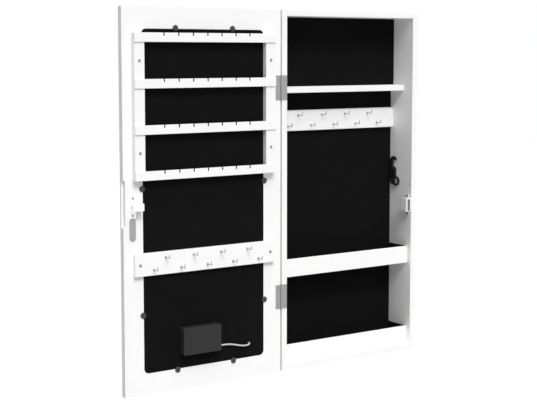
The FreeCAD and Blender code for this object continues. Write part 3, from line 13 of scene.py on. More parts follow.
import bmesh
import bpy
import numpy as np
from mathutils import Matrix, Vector


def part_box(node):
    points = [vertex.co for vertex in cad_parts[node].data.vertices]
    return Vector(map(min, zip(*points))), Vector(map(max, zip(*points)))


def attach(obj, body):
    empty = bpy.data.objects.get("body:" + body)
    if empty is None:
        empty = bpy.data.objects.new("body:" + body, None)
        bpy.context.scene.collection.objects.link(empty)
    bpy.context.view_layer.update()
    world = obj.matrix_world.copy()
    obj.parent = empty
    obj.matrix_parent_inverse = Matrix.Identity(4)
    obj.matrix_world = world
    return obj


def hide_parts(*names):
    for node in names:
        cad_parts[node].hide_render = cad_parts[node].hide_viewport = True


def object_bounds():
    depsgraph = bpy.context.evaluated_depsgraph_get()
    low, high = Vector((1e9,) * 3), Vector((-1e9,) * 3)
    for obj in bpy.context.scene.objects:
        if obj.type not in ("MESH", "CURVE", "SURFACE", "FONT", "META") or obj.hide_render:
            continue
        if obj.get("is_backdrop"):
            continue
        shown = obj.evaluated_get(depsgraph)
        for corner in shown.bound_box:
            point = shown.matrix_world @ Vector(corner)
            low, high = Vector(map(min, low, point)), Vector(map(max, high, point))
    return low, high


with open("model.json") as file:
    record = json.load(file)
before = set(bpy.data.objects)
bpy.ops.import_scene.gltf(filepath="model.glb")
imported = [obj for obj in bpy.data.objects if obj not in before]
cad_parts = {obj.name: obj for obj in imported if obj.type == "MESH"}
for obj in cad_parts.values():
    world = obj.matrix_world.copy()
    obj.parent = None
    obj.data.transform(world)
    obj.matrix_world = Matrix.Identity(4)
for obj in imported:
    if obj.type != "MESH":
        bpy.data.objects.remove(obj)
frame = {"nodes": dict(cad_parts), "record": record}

MM = 0.001
cad_low, cad_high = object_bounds()
nodes = frame["nodes"]
record = frame["record"]
slot_of = {part["node"]: part["material_slot"] for part in record["subparts"]}
body_of = {node: body for body, members in record["behaviour"]["bodies"].items() for node in members}
print("CAD box in millimetres:", [round(side / MM) for side in cad_high - cad_low])

# %% [markdown]
# ## The camera
#
# A photograph of a cabinet is usually taken with its edges kept upright: the camera looks level and the lens is
# shifted downwards. The place and the lens below were found by fitting the long edges of the cabinet and of its
# door. A full shift would push the cabinet out of the picture from other sides, so here the shift is small and
# the camera dips a little for the rest, which leans the far edge of the door by a pixel or two.

# %% Camera
CAMERA_PLACE = Vector((-1.8756, -2.5293, 0.3436))
CAMERA_TURN = math.radians(33.61)
CAMERA_DIP = math.radians(5.43)
CAMERA_LENS = 80.38
CAMERA_SHIFT = -0.07

camera_data = bpy.data.cameras.new("studio_camera")
camera_data.sensor_width = 36
camera_data.lens = CAMERA_LENS
camera_data.shift_y = CAMERA_SHIFT
camera_data.clip_start = 0.05
camera_data.clip_end = 60
camera = bpy.data.objects.new("studio_camera", camera_data)
bpy.context.scene.collection.objects.link(camera)
camera.location = CAMERA_PLACE
looking = Vector((math.sin(CAMERA_TURN) * math.cos(CAMERA_DIP),
                  math.cos(CAMERA_TURN) * math.cos(CAMERA_DIP),
                  -math.sin(CAMERA_DIP)))
camera.rotation_mode = "QUATERNION"
camera.rotation_quaternion = looking.to_track_quat("-Z", "Y")
bpy.context.scene.camera = camera
print("camera looks along", [round(part, 3) for part in looking])

# %% [markdown]
# ## Shader maths as plain expressions
#
# A finish in Blender is a graph of nodes. Writing `1 - mask * 0.5` is much easier to read than three nodes and
# four links, so a small class wraps an output socket and turns each operator into a Math node.
# Colours go through Mix nodes instead, because a Math node would turn a colour grey.

# %% Fields and finishes
class Field:
    """A number that changes over a surface: one output socket that can be calculated with."""

    def __init__(self, finish, socket):
        self.finish = finish
        self.socket = socket

    def maths(self, operation, *values):
        return self.finish.node("ShaderNodeMath", {"operation": operation}, dict(enumerate(values)))

    def __add__(self, other):
        return self.maths("ADD", self, other)

    __radd__ = __add__

    def __sub__(self, other):
        return self.maths("SUBTRACT", self, other)

    def __rsub__(self, other):
        return self.maths("SUBTRACT", other, self)

    def __mul__(self, other):
        return self.maths("MULTIPLY", self, other)

    __rmul__ = __mul__

    def __truediv__(self, other):
        return self.maths("DIVIDE", self, other)

    def __mod__(self, other):
        return self.maths("FLOORED_MODULO", self, other)

    def __abs__(self):
        return self.maths("ABSOLUTE", self)

    def above(self, edge, width):
        """0 below the edge, 1 above it, with a straight ramp of the given width between."""
        return self.finish.node("ShaderNodeClamp", {}, {0: (self - (edge - width / 2)) / width})

    def most(self, other):
        return self.maths("MAXIMUM", self, other)


class Finish:
    """A material with one Principled shader, and the means to grow its graph."""

    def __init__(self, name, **constants):
        self.material = bpy.data.materials.new(name)
        self.material.use_nodes = True
        self.graph = self.material.node_tree
        self.graph.nodes.clear()
        output = self.graph.nodes.new("ShaderNodeOutputMaterial")
        self.shader = self.graph.nodes.new("ShaderNodeBsdfPrincipled")
        self.graph.links.new(self.shader.outputs[0], output.inputs["Surface"])
        for socket, value in constants.items():
            self.shader.inputs[socket.replace("_", " ")].default_value = value
        self.place = self.node("ShaderNodeTexCoord", outlet="Object")

    def node(self, kind, settings=None, sockets=None, outlet=0):
        """Any node: its type, its settings (set first), and the values or links of its sockets."""
        made = self.graph.nodes.new(kind)
        for setting, value in (settings or {}).items():
            setattr(made, setting, value)
        for socket, value in (sockets or {}).items():
            if isinstance(value, Field):
                self.graph.links.new(value.socket, made.inputs[socket])
            else:
                made.inputs[socket].default_value = value
        return Field(self, made.outputs[outlet])

    def scaled(self, stretch):
        """Object coordinates stretched along X, Y and Z."""
        return self.node("ShaderNodeMapping", {}, {"Vector": self.place, "Scale": stretch})

    def noise(self, grain_mm, detail=2.0, stretch=(1, 1, 1)):
        """Soft random grain whose lumps are about grain_mm across."""
        sockets = {"Vector": self.scaled(stretch), "Scale": 1 / (grain_mm * MM), "Detail": detail}
        return self.node("ShaderNodeTexNoise", {}, sockets)

    def cells(self, size_mm):
        """Distance to the nearest of many random points about size_mm apart."""
        return self.node("ShaderNodeTexVoronoi", {}, {"Vector": self.place, "Scale": 1 / (size_mm * MM)})

    def axis(self, letter):
        """Object X, Y or Z in millimetres."""
        return self.node("ShaderNodeSeparateXYZ", {}, {0: self.place}, outlet=letter) / MM

    def mix(self, mask, first, second):
        """The first colour where the mask is 0, the second where it is 1.
        A Mix node takes its two colours at sockets 6 and 7 and gives the mixed one at outlet 2."""
        sockets = {0: mask}
        for socket, colour in ((6, first), (7, second)):
            sockets[socket] = colour if isinstance(colour, Field) else (*colour, 1.0)
        return self.node("ShaderNodeMix", {"data_type": "RGBA"}, sockets, outlet=2)

    def feed(self, socket, field):
        """Let a field drive one socket of the shader."""
        self.graph.links.new(field.socket, self.shader.inputs[socket])

    def bump(self, height, depth_mm):
        """Relief: the height field, depth_mm deep where it runs from 0 to 1."""
        sockets = {"Height": height, "Distance": depth_mm * MM, "Strength": 1.0}
        self.feed("Normal", self.node("ShaderNodeBump", {}, sockets))


def grey(level):
    return (level, level, level)


finishes = {}
print("finish maker ready")

# %% [markdown]
# ## White lacquer
#
# The boards are fibreboard under a satin white lacquer. Sprayed lacquer dries with a faint orange peel about
# two millimetres across, and its sheen is never quite even. A broad noise moves the colour by a percent or so,
# a middle one moves the roughness, and a fine one gives the relief.

# %% White lacquer
def white_lacquer():
    finish = Finish("white_lacquer", Specular_IOR_Level=0.35)
    tone = finish.noise(260, 1.0)
    finish.feed("Base Color", finish.mix(tone, (0.925, 0.925, 0.92), (0.945, 0.945, 0.942)))
    finish.feed("Roughness", 0.40 + 0.16 * finish.noise(35, 3.0))
    finish.bump(finish.noise(2.2, 1.0), 0.02)
    return finish


finishes["white_paint"] = white_lacquer()
print("white lacquer made")

# %% [markdown]
# The four notched bars wear the same lacquer, but their slots read as short black ticks in the photograph: the
# cut walls get painted shade in near black. The mask is 1 near a slot's middle line and above its floor. Slots
# repeat along X at one spacing and bars along Z at another, so a remainder and an absolute value find them all.

# %% Painted slot shade
BAR_NODES = ["rack_bar_1", "rack_bar_2", "rack_bar_3", "rack_bar_4"]
SLOT_SPACING_MM = 38.75
SLOT_HALF_MM = 1.5
SLOT_DEPTH_MM = 7.0
ROW_HALF_SLOTS = 3.5
SHADE_REACH_MM = 0.12
SHADE_BLUR_MM = 0.1


def painted_slot_shade():
    """The lacquer, with painted shade beside each slot's middle line, within the row and above the slot's
    floor.
    """
    finish = white_lacquer()
    finish.material.name = "white_lacquer_stained_slots"
    low, high = (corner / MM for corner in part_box(BAR_NODES[0]))
    bar_spacing = low.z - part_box(BAR_NODES[1])[0].z / MM
    middle = (low.x + high.x) / 2
    beside = abs((finish.axis("X") - middle + SLOT_SPACING_MM / 2) % SLOT_SPACING_MM - SLOT_SPACING_MM / 2)
    from_middle = abs(finish.axis("X") - middle)
    within_row = 1 - from_middle.above(ROW_HALF_SLOTS * SLOT_SPACING_MM, SHADE_BLUR_MM)
    below_top = (high.z - finish.axis("Z") + 1) % bar_spacing - 1
    in_slot = 1 - beside.above(SLOT_HALF_MM + SHADE_REACH_MM, SHADE_BLUR_MM)
    above_floor = 1 - below_top.above(SLOT_DEPTH_MM + SHADE_REACH_MM, SHADE_BLUR_MM)
    within = in_slot * above_floor
    lacquer = finish.shader.inputs["Base Color"].links[0].from_socket
    # Painted shade: the slot walls are coloured near black where the slots lie in shade.
    finish.feed("Base Color", finish.mix(within * within_row, Field(finish, lacquer), grey(0.012)))
    return finish


# The bars' lacquer with the painted shade in their slots.
slot_shade_finish = painted_slot_shade()
print("slots stained")

# %% [markdown]
# ## Bare and backing boards
#
# What the owner never sees is left plainer. The rail behind the shelf bay is bare fibreboard with felted
# fibres, the back is a thin board with a pale paper face, and the corner dowels are turned from beech, whose
# grain runs along them. Each is a noise stretched the way its fibres run.

# %% Bare boards and dowels
def bare_fibreboard():
    finish = Finish("bare_fibreboard", Specular_IOR_Level=0.2)
    fibres = finish.noise(3.5, 6.0, (0.35, 1, 1))
    finish.feed("Base Color", finish.mix(fibres, (0.30, 0.20, 0.12), (0.47, 0.35, 0.23)))
    finish.feed("Roughness", 0.75 + 0.15 * fibres)
    finish.bump(finish.noise(0.8, 3.0), 0.05)
    return finish


def paper_faced_board():
    finish = Finish("paper_faced_board", Specular_IOR_Level=0.25)
    clouds = finish.noise(40, 4.0)
    flecks = finish.noise(1.6, 2.0, (1, 1, 0.3)).above(0.66, 0.06)
    paper = finish.mix(clouds, (0.63, 0.605, 0.56), (0.70, 0.68, 0.64))
    finish.feed("Base Color", finish.mix(flecks * 0.35, paper, (0.42, 0.36, 0.29)))
    finish.feed("Roughness", 0.62 + 0.2 * finish.noise(12, 2.0))
    finish.bump(finish.noise(1.2, 4.0), 0.03)
    return finish


def turned_beech():
    finish = Finish("turned_beech", Roughness=0.6, Specular_IOR_Level=0.25)
    grain = finish.noise(1.5, 5.0, (0.12, 1, 1))
    finish.feed("Base Color", finish.mix(grain, (0.52, 0.33, 0.18), (0.68, 0.49, 0.30)))
    finish.bump(grain, 0.05)
    return finish


finishes["raw_board"] = bare_fibreboard()
finishes["back_board"] = paper_faced_board()
finishes["beech"] = turned_beech()
print("bare boards made")

# %% [markdown]
# ## Black flock
#
# The lining is short black flock glued to the board, and the board behind the mirror wears the same. Flock
# drinks the light, so its colour is close to black, it has almost no shine, and only its nap shows close by.
# The nap is a very fine noise, and a broad one stands for places that a hand has brushed the other way.

# %% Black flock
def black_flock(name):
    finish = Finish(name, Roughness=1.0, Specular_IOR_Level=0.06)
    nap = finish.noise(0.5, 2.0)
    brushed = finish.noise(55, 2.0)
    finish.feed("Base Color", finish.mix(nap * 0.7 + brushed * 0.3, grey(0.0032), grey(0.0085)))
    finish.bump(nap, 0.12)
    return finish


finishes["black_felt"] = black_flock("black_flock_lining")
finishes["black_board"] = black_flock("black_flock_board")
print("flock made")

# %% [markdown]
# ## Metals
#
# The hinges, hangers and most screws are zinc plated steel, rolled flat, so their faint lines run one way.
# The hooks are bright nickel, the lock case is a satin casting, and the hook on the wall is cast and enamelled
# black. One function makes the plain metals: a tone, a roughness, and the way the lines run.

# %% Metals
def plain_metal(name, tone, roughness, lines=(1, 1, 1), tint=(1.0, 1.0, 1.01)):
    finish = Finish(name, Metallic=1.0)
    streaks = finish.noise(0.9, 3.0, lines)
    clouds = finish.noise(9, 2.0)
    mask = streaks * 0.6 + clouds * 0.4
    darker = tuple(tone * 0.88 * part for part in tint)
    lighter = tuple(min(1.0, tone * 1.10 * part) for part in tint)
    finish.feed("Base Color", finish.mix(mask, darker, lighter))
    finish.feed("Roughness", roughness * (0.8 + 0.4 * mask))
    finish.bump(streaks, 0.004)
    return finish


def black_enamel():
    finish = Finish("black_enamel", Specular_IOR_Level=0.5, Coat_Weight=0.4, Coat_Roughness=0.12)
    sand = finish.noise(1.4, 3.0)
    finish.feed("Base Color", finish.mix(sand, grey(0.004), grey(0.012)))
    finish.feed("Roughness", 0.28 + 0.12 * sand)
    finish.bump(sand, 0.05)
    return finish


def black_oxide():
    finish = Finish("black_oxide", Metallic=0.6)
    mottle = finish.noise(1.1, 2.0)
    finish.feed("Base Color", finish.mix(mottle, grey(0.05), grey(0.10)))
    finish.feed("Roughness", 0.36 + 0.12 * mottle)
    return finish


finishes["zinc_steel"] = plain_metal("zinc_plated_steel", 0.345, 0.42, (1, 1, 0.08))
finishes["bright_nickel"] = plain_metal("bright_nickel", 0.46, 0.20)
finishes["zinc_cast"] = plain_metal("satin_casting", 0.86, 0.48)
finishes["strike_steel"] = plain_metal("satin_strike", 0.37, 0.40, (1, 1, 0.08))
finishes["catch_steel"] = plain_metal("catch_steel", 0.30, 0.40, (1, 1, 0.1))
finishes["black_cast"] = black_enamel()
finishes["black_screw"] = black_oxide()
print("metals made")

# %% [markdown]
# ## Mirror glass
#
# A mirror is glass silvered on its back. Seen from the front it is nearly a perfect reflector with a trace of
# green, and along its ground edge the light runs down inside the glass and comes out a deeper green.
# The edge mask is how far a point lies outside the silvered rectangle, measured from the glass's own box.

# %% Mirror glass
GROUND_EDGE_MM = 1.1
GROUND_BLUR_MM = 0.2


def silvered_glass():
    finish = Finish("silvered_glass", Specular_IOR_Level=0.5)
    low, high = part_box("mirror_glass")
    middle = (low + high) / 2 / MM
    half = (high - low) / 2 / MM
    across = abs(finish.axis("X") - middle.x).above(half.x - GROUND_EDGE_MM, GROUND_BLUR_MM)
    along = abs(finish.axis("Z") - middle.z).above(half.z - GROUND_EDGE_MM, GROUND_BLUR_MM)
    rim = across.most(along)
    finish.feed("Base Color", finish.mix(rim, (0.80, 0.84, 0.835), (0.30, 0.46, 0.40)))
    finish.feed("Metallic", 1 - 0.9 * rim)
    finish.feed("Roughness", 0.015 + 0.02 * finish.noise(90, 3.0) + 0.10 * rim)
    return finish


finishes["mirror"] = silvered_glass()
print("mirror glass made")

# %% [markdown]
# ## Plastics and foam
#
# The battery box and the little clips are moulded in dark plastic with a spark-eroded grain, the catch is a
# glossy white moulding, and a soft foam strip keeps the mirror from rattling. A fine noise gives the grain of
# a moulding, a broad one the slight change of tone where the plastic flowed, and cells give the foam its pores.

# %% Plastics and foam
def moulded_plastic(name, tone, roughness, grain_mm=0.35, depth_mm=0.02, shine=0.4):
    finish = Finish(name, Specular_IOR_Level=shine)
    grain = finish.noise(grain_mm, 2.0)
    flow = finish.noise(30, 2.0)
    finish.feed("Base Color", finish.mix(flow, grey(tone * 0.92), grey(tone * 1.08)))
    finish.feed("Roughness", roughness + 0.1 * grain)
    finish.bump(grain, depth_mm)
    return finish


def closed_cell_foam():
    finish = Finish("closed_cell_foam", Specular_IOR_Level=0.2)
    cells = finish.cells(0.9)
    finish.feed("Base Color", finish.mix(cells, grey(0.035), grey(0.075)))
    finish.feed("Roughness", 0.85 + 0.1 * cells)
    finish.bump(cells, 0.15)
    return finish


finishes["black_plastic"] = moulded_plastic("box_plastic", 0.015, 0.50, shine=0.28)
finishes["clip_plastic"] = moulded_plastic("clip_plastic", 0.055, 0.45)
finishes["catch_plastic"] = moulded_plastic("catch_plastic", 0.86, 0.28, 0.8, 0.006)
finishes["pale_cable"] = moulded_plastic("lead_sleeve", 0.52, 0.38, 0.8, 0.01)
finishes["foam"] = closed_cell_foam()
print("plastics made")

# %% [markdown]
# The lamps are a flexible strip with a small yellow chip every 17 mm and copper lines beside it, so one
# remainder along the strip finds the chips and one across it finds the lines. Their driver board is green
# resin, the cells wear a dark sleeve with a copper-coloured end, and the catch's magnet is a dull sintered
# block.

# %% Lamp parts
LAMP_PITCH_MM = 16.7
CHIP_HALF_MM = 1.6
COPPER_PITCH_MM = 2.4
SLEEVE_SHARE = 0.78


def lamp_strip():
    finish = Finish("lamp_strip", Roughness=0.5)
    along = abs(finish.axis("Z") % LAMP_PITCH_MM - LAMP_PITCH_MM / 2)
    chip = 1 - along.above(CHIP_HALF_MM, 0.2)
    copper = abs(finish.axis("X") % COPPER_PITCH_MM - COPPER_PITCH_MM / 2).above(0.9, 0.1)
    strip = finish.mix(copper * 0.4, (0.78, 0.76, 0.70), (0.62, 0.40, 0.22))
    finish.feed("Base Color", finish.mix(chip, strip, (0.85, 0.62, 0.12)))
    finish.bump(chip, 0.4)
    return finish


def resin_board():
    """Green resin. Its track mask takes the absolute value of no field, so it is 0 and no track shows."""
    finish = Finish("resin_board", Roughness=0.35)
    tracks = (finish.axis("X") % 2.54 - 1.27).maths("ABSOLUTE").above(0.9, 0.1)
    finish.feed("Base Color", finish.mix(tracks * 0.6, (0.02, 0.11, 0.04), (0.10, 0.22, 0.08)))
    finish.bump(tracks, 0.04)
    return finish


def cell_sleeve():
    finish = Finish("cell_sleeve", Specular_IOR_Level=0.5)
    low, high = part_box("battery_cells")
    along = (finish.axis("X") - low.x / MM) / ((high.x - low.x) / MM)
    band = along.above(SLEEVE_SHARE, 0.01)
    finish.feed("Base Color", finish.mix(band, grey(0.03), (0.50, 0.36, 0.16)))
    finish.feed("Roughness", 0.25 + 0.1 * finish.noise(6, 2.0))
    return finish


def sintered_magnet():
    finish = Finish("sintered_magnet", Specular_IOR_Level=0.3)
    grain = finish.noise(0.6, 4.0)
    finish.feed("Base Color", finish.mix(grain, grey(0.05), grey(0.10)))
    finish.feed("Roughness", 0.6 + 0.2 * grain)
    finish.bump(grain, 0.05)
    return finish


finishes["light_tape"] = lamp_strip()
finishes["circuit_board"] = resin_board()
finishes["cell_wrap"] = cell_sleeve()
finishes["ferrite"] = sintered_magnet()
print(len(finishes), "finishes")

# %% [markdown]
# ## Give every CAD piece its finish
#
# The record says which finish each node takes, so one loop fills every material slot. A node that a finer
# piece replaces further down keeps its finish too, and hands it to that piece.

# %% Finish the CAD nodes
for node, part in nodes.items():
    part.data.materials.clear()
    part.data.materials.append(finishes[slot_of[node]].material)
print(len(nodes), "nodes finished")

# %% [markdown]
# ## Eased edges
#
# No real board, casting or moulding has a knife edge: a lacquered board is sanded to about a millimetre, a
# pressed plate to a few tenths. A CAD body arrives as loose triangles, so a copy is joined at its corners, its
# flat faces are made whole again, and a Bevel modifier rounds what is left. The copy then stands for the node.

# %% Eased copies
SHARP = math.radians(35)


def adopt(piece, node, slot=None):
    """Let a piece stand for its node: on the node's body, with the node's finish or another slot's."""
    slot = slot or slot_of[node]
    finish = slot_shade_finish if node in BAR_NODES else finishes[slot]
    piece.data.materials.append(finish.material)
    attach(piece, body_of[node])
    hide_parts(node)
    return piece


def eased(node, width_mm, segments):
    """A copy of a CAD node whose sharp edges are rounded by width_mm."""
    shell = bmesh.new()
    shell.from_mesh(nodes[node].data)
    bmesh.ops.remove_doubles(shell, verts=shell.verts, dist=1e-6)
    bmesh.ops.dissolve_limit(shell, angle_limit=math.radians(0.5), verts=shell.verts, edges=shell.edges)
    mesh = bpy.data.meshes.new(node + "_eased")
    shell.to_mesh(mesh)
    shell.free()
    mesh.shade_smooth()
    piece = bpy.data.objects.new(node + "_eased", mesh)
    bpy.context.scene.collection.objects.link(piece)
    bevel = piece.modifiers.new("eased_edges", "BEVEL")
    bevel.width = width_mm * MM
    bevel.segments = segments
    bevel.limit_method = "ANGLE"
    bevel.angle_limit = SHARP
    flat = piece.modifiers.new("flat_faces", "WEIGHTED_NORMAL")
    flat.weight = 100
    flat.keep_sharp = True
    return adopt(piece, node)


# Edge width in millimetres and number of segments, then the nodes that take them.
EASED = {
    (0.8, 2): ["side_panel_left", "side_panel_right", "top_panel", "bottom_panel", "upper_shelf",
               "middle_shelf", "middle_fence", "bottom_fence", "inner_hook_rail", "door_frame",
               "door_hook_rail", "rack_rail_left", "rack_rail_right"],
    (0.5, 2): [*BAR_NODES, "battery_cover", "battery_box", "lock_body", "catch_body", "mirror_glass"],
    (0.3, 2): ["strike_plate", "catch_pole_plates", "hanger_plates", "switch_slider"],
    (0.9, 3): ["side_hook"],
}
for manner, members in EASED.items():
    for node in members:
        eased(node, *manner)
print(sum(len(members) for members in EASED.values()), "nodes eased")

# %% [markdown]
# ## Reading places from the frame
#
# The screws and hooks go exactly where the CAD puts them. A node may hold several separate solids, so this
# helper finds the box of each one: corners at one place share a number, and every triangle keeps handing the
# lowest of its three numbers to the others until nothing changes.

# %% Boxes of separate solids
def solid_boxes(node):
    """Low and high corner of each separate solid in a CAD node, from left to right and then upwards."""
    mesh = nodes[node].data
    points = np.empty(len(mesh.vertices) * 3)
    mesh.vertices.foreach_get("co", points)
    places, number = np.unique(points.reshape(-1, 3).round(6), axis=0, return_inverse=True)
    corners = np.empty(len(mesh.loops), dtype=int)
    mesh.loops.foreach_get("vertex_index", corners)
    triangles = number.reshape(-1)[corners.reshape(-1, 3)]
    group = np.arange(len(places))
    changed = True
    while changed:
        before = group.copy()
        lowest = group[triangles].min(axis=1)
        np.minimum.at(group, triangles, lowest[:, None])
        changed = not np.array_equal(before, group)
    boxes = [(places[group == one].min(axis=0), places[group == one].max(axis=0)) for one in np.unique(group)]
    return sorted(boxes, key=lambda box: (round(box[0][0], 4), round(box[0][2], 4)))


for node in ("clip_screws", "door_rail_hooks", "inner_rail_hooks"):
    print(node, "holds", len(solid_boxes(node)), "solids")

# %% [markdown]
# ## Surfaces from arrays
#
# A piece here is a grid of points worked out all at once, and its faces are the cells of that grid. Rods and
# turned parts wrap round in one direction. Where a ring shrinks to a point, its corners are merged, so that
# every pole is closed, and the mesh is turned outwards if its signed volume comes out negative.

# %% Grids, rods and turned parts
def cells_of(rows, columns, first=0):
    """The four corner numbers of every cell in a grid of rows by columns points that wraps round sideways."""
    row, column = np.mgrid[0:rows - 1, 0:columns]
    right = (column + 1) % columns
    around = [row * columns + column, row * columns + right, (row + 1) * columns + right,
              (row + 1) * columns + column]
    return first + np.stack(around, axis=-1).reshape(-1, 4)


def signed_volume(points, faces):
    """A sixth of the summed triple products of every face's two triangles."""
    a, b, c, d = (points[faces[:, corner]] for corner in range(4))
    return ((a * np.cross(b, c)).sum() + (a * np.cross(c, d)).sum()) / 6


def outwards(points, faces):
    """The faces, each with its corners in reverse order if together they enclose a negative volume."""
    return faces[:, ::-1] if signed_volume(points, faces) < 0 else faces


def turned(points, facing):
    """Points whose own +Z is turned to point along facing."""
    return points @ np.array(Vector(facing).to_track_quat("Z", "Y").to_matrix()).T


def copies(points, faces, seats):
    """The same shape at many seats: point p of copy k goes to p + seat k."""
    placed = (points[None] + np.asarray(seats)[:, None]).reshape(-1, 3)
    numbered = (faces[None] + (np.arange(len(seats)) * len(points))[:, None, None]).reshape(-1, 4)
    return placed, numbered


def solid_piece(name, points, faces):
    """A mesh object from points and four-cornered faces, with doubled corners merged and faces outwards."""
    mesh = bpy.data.meshes.new(name)
    mesh.from_pydata(points.tolist(), [], outwards(points, faces).tolist())
    shell = bmesh.new()
    shell.from_mesh(mesh)
    bmesh.ops.remove_doubles(shell, verts=shell.verts, dist=1e-6)
    shell.to_mesh(mesh)
    shell.free()
    mesh.shade_smooth()
    mesh.set_sharp_from_angle(angle=SHARP)
    piece = bpy.data.objects.new(name, mesh)
    bpy.context.scene.collection.objects.link(piece)
    return piece


def lathe(radii, heights, sides=32):
    """A turned shape about Z: at height h the surface is a circle of radius r."""
    angle = np.linspace(0, 2 * np.pi, sides, endpoint=False)
    radii, heights = np.asarray(radii, float), np.asarray(heights, float)
    ring = np.stack([np.cos(angle), np.sin(angle)], axis=-1)
    points = np.concatenate([radii[:, None, None] * ring[None],
                             np.broadcast_to(heights[:, None, None], (len(radii), sides, 1))], axis=-1)
    return points.reshape(-1, 3), cells_of(len(radii), sides)


print("shape makers ready")

# %% [markdown]
# ## Cross-head screws
#
# Every screw has a cross recess for the driver. The head is a disc made from a square grid: the point (x, y) of
# the square goes to (x sqrt(1 - y^2/2), y sqrt(1 - x^2/2)), which lies on a circle when x or y is 1. Near the
# middle the grid stays almost straight, so its lines can follow the sides of the recess. The rim of the
# square then becomes a ring, and more rings below it make the edge of the head, its seat and the shank.

# %% One screw
RECESS_LINES = np.array([0.10, 0.17, 0.34, 0.52, 0.60, 0.80, 1.0])
RECESS_HALF_WIDTH = 0.12
RECESS_REACH = 0.56
RECESS_DEPTH = 0.30
RECESS_SLOPE = 1.25
DOME_SHARE = 0.12
LID_SHARE = 0.94
RIM_SHARE = 0.55


def screw(head_radius, head_height, shank_radius, length):
    """A screw along +Z: its seat at 0, head above, shank below.
    Top: h = height - dome * r^2 - recess, and the recess is a cross whose floor slopes up to its ends."""
    line = np.concatenate([-RECESS_LINES[::-1], RECESS_LINES])
    x, y = np.meshgrid(line, line, indexing="ij")
    disc_x, disc_y = x * np.sqrt(1 - y * y / 2), y * np.sqrt(1 - x * x / 2)
    arm = np.maximum(np.abs(x), np.abs(y))
    narrow = np.minimum(np.abs(x), np.abs(y)) < RECESS_HALF_WIDTH
    recess = np.where(narrow & (arm < RECESS_REACH), RECESS_DEPTH * head_radius * (RECESS_SLOPE - arm), 0)
    dome = DOME_SHARE * head_height * arm ** 2
    lid_height = head_height - dome - recess
    top = np.stack([disc_x * head_radius * LID_SHARE, disc_y * head_radius * LID_SHARE, lid_height], -1)
    side = len(line)
    number = np.arange(side * side).reshape(side, side)
    rim = np.concatenate([number[:-1, 0], number[-1, :-1], number[:0:-1, -1], number[0, :0:-1]])
    unit = np.stack([disc_x, disc_y], -1).reshape(-1, 2)[rim]
    radii = [head_radius, head_radius, shank_radius, shank_radius, shank_radius * 0.6, 0]
    heights = [head_height * RIM_SHARE, 0, -0.02 * head_radius, -length * 0.8, -length * 0.93, -length]
    rings = np.concatenate([np.concatenate([unit * radius, np.full((len(unit), 1), height)], 1)
                            for radius, height in zip(radii, heights)])
    points = np.concatenate([top.reshape(-1, 3), rings])
    lid = np.stack([number[:-1, :-1], number[1:, :-1], number[1:, 1:], number[:-1, 1:]], -1).reshape(-1, 4)
    start = side * side
    count = len(rim)
    after = np.roll(np.arange(count), -1)
    collar = np.stack([rim, rim[after], start + after, start + np.arange(count)], -1)[:, ::-1]
    below = cells_of(len(radii), count, first=start)[:, ::-1]
    return points, np.concatenate([lid, collar, below])


# %% [markdown]
# The CAD screws are plain, so only their places and sizes are read: the box of each one gives its seat and how
# wide its head is. `proud_mm` is how far the head stands above the face it is driven into.

# %% Every set of screws
def screw_set(node, facing, proud_mm, slot=None):
    """Finished screws in place of a node's plain ones, all facing the same way."""
    axis = int(np.argmax(np.abs(facing)))
    out = np.sign(facing[axis])
    seats, widths, lengths = [], [], []
    for low, high in solid_boxes(node):
        seat = (low + high) / 2
        outer = high[axis] if out > 0 else low[axis]
        seat[axis] = outer - out * proud_mm * MM
        seats.append(seat)
        widths.append(np.delete(high - low, axis).min())
        lengths.append(high[axis] - low[axis])
    head_radius = min(widths) / 2
    length = min(lengths) - proud_mm * MM
    points, faces = screw(head_radius, proud_mm * MM, head_radius * 0.5, length)
    return adopt(solid_piece(node + "_cross_head", *copies(turned(points, facing), faces, seats)), node, slot)


TO_VIEWER, TO_WALL, TO_MIDDLE = (0, -1, 0), (0, 1, 0), (-1, 0, 0)
SCREW_SETS = [
    ("rack_screws", TO_VIEWER, 1.4, "zinc_steel"), ("door_rail_screws", TO_VIEWER, 1.4, "zinc_steel"),
    ("clip_screws", TO_VIEWER, 0.9), ("lock_screws", TO_VIEWER, 1.0), ("strike_screws", TO_VIEWER, 0.6),
    ("hinge_screws_cabinet", TO_VIEWER, 0.3), ("hinge_screws_door", TO_VIEWER, 0.3),
    ("side_hook_screws", TO_MIDDLE, 1.2), ("catch_screws", TO_MIDDLE, 1.0), ("hanger_screws", TO_WALL, 0.3),
]
for node, *manner in SCREW_SETS:
    made = screw_set(node, *manner)
    print(made.name, len(made.data.polygons), "faces")

# %% [markdown]
# ## Wire hooks
#
# The necklace hooks are nickel wire: straight out of a small round collar, a tight bend, and a short upturned
# tip with a rounded end. The path lies in one upright plane, so a ring round it is easy to place: one of its
# two directions is always X, and the other is the path's direction turned a quarter turn.

# %% Wire hooks
WIRE_RADIUS = 1.3 * MM
WIRE_REACH = 20 * MM
WIRE_RISE = 9 * MM
WIRE_BEND = 3.2 * MM
COLLAR_RADIUS = 3.2 * MM
COLLAR_DEPTH = 1.6 * MM
BEND_RINGS = 9
TIP_RINGS = 5


def wire_path(root):
    """Outward distance and height along the wire, and its radius: straight, a quarter circle, straight up."""
    middle = WIRE_REACH - WIRE_RADIUS - WIRE_BEND
    straight = np.array([[-root, 0], [0, 0], [middle * 0.9, 0]])
    turn = np.linspace(0, np.pi / 2, BEND_RINGS)
    bend = np.stack([middle + WIRE_BEND * np.sin(turn), WIRE_BEND * (1 - np.cos(turn))], -1)
    cap = np.linspace(0, np.pi / 2, TIP_RINGS)
    tip = np.stack([np.full(TIP_RINGS, middle + WIRE_BEND), WIRE_RISE - WIRE_RADIUS * (1 - np.sin(cap))], -1)
    radius = np.concatenate([np.full(len(straight) + BEND_RINGS, WIRE_RADIUS), WIRE_RADIUS * np.cos(cap)])
    return np.concatenate([straight, bend, tip]), radius


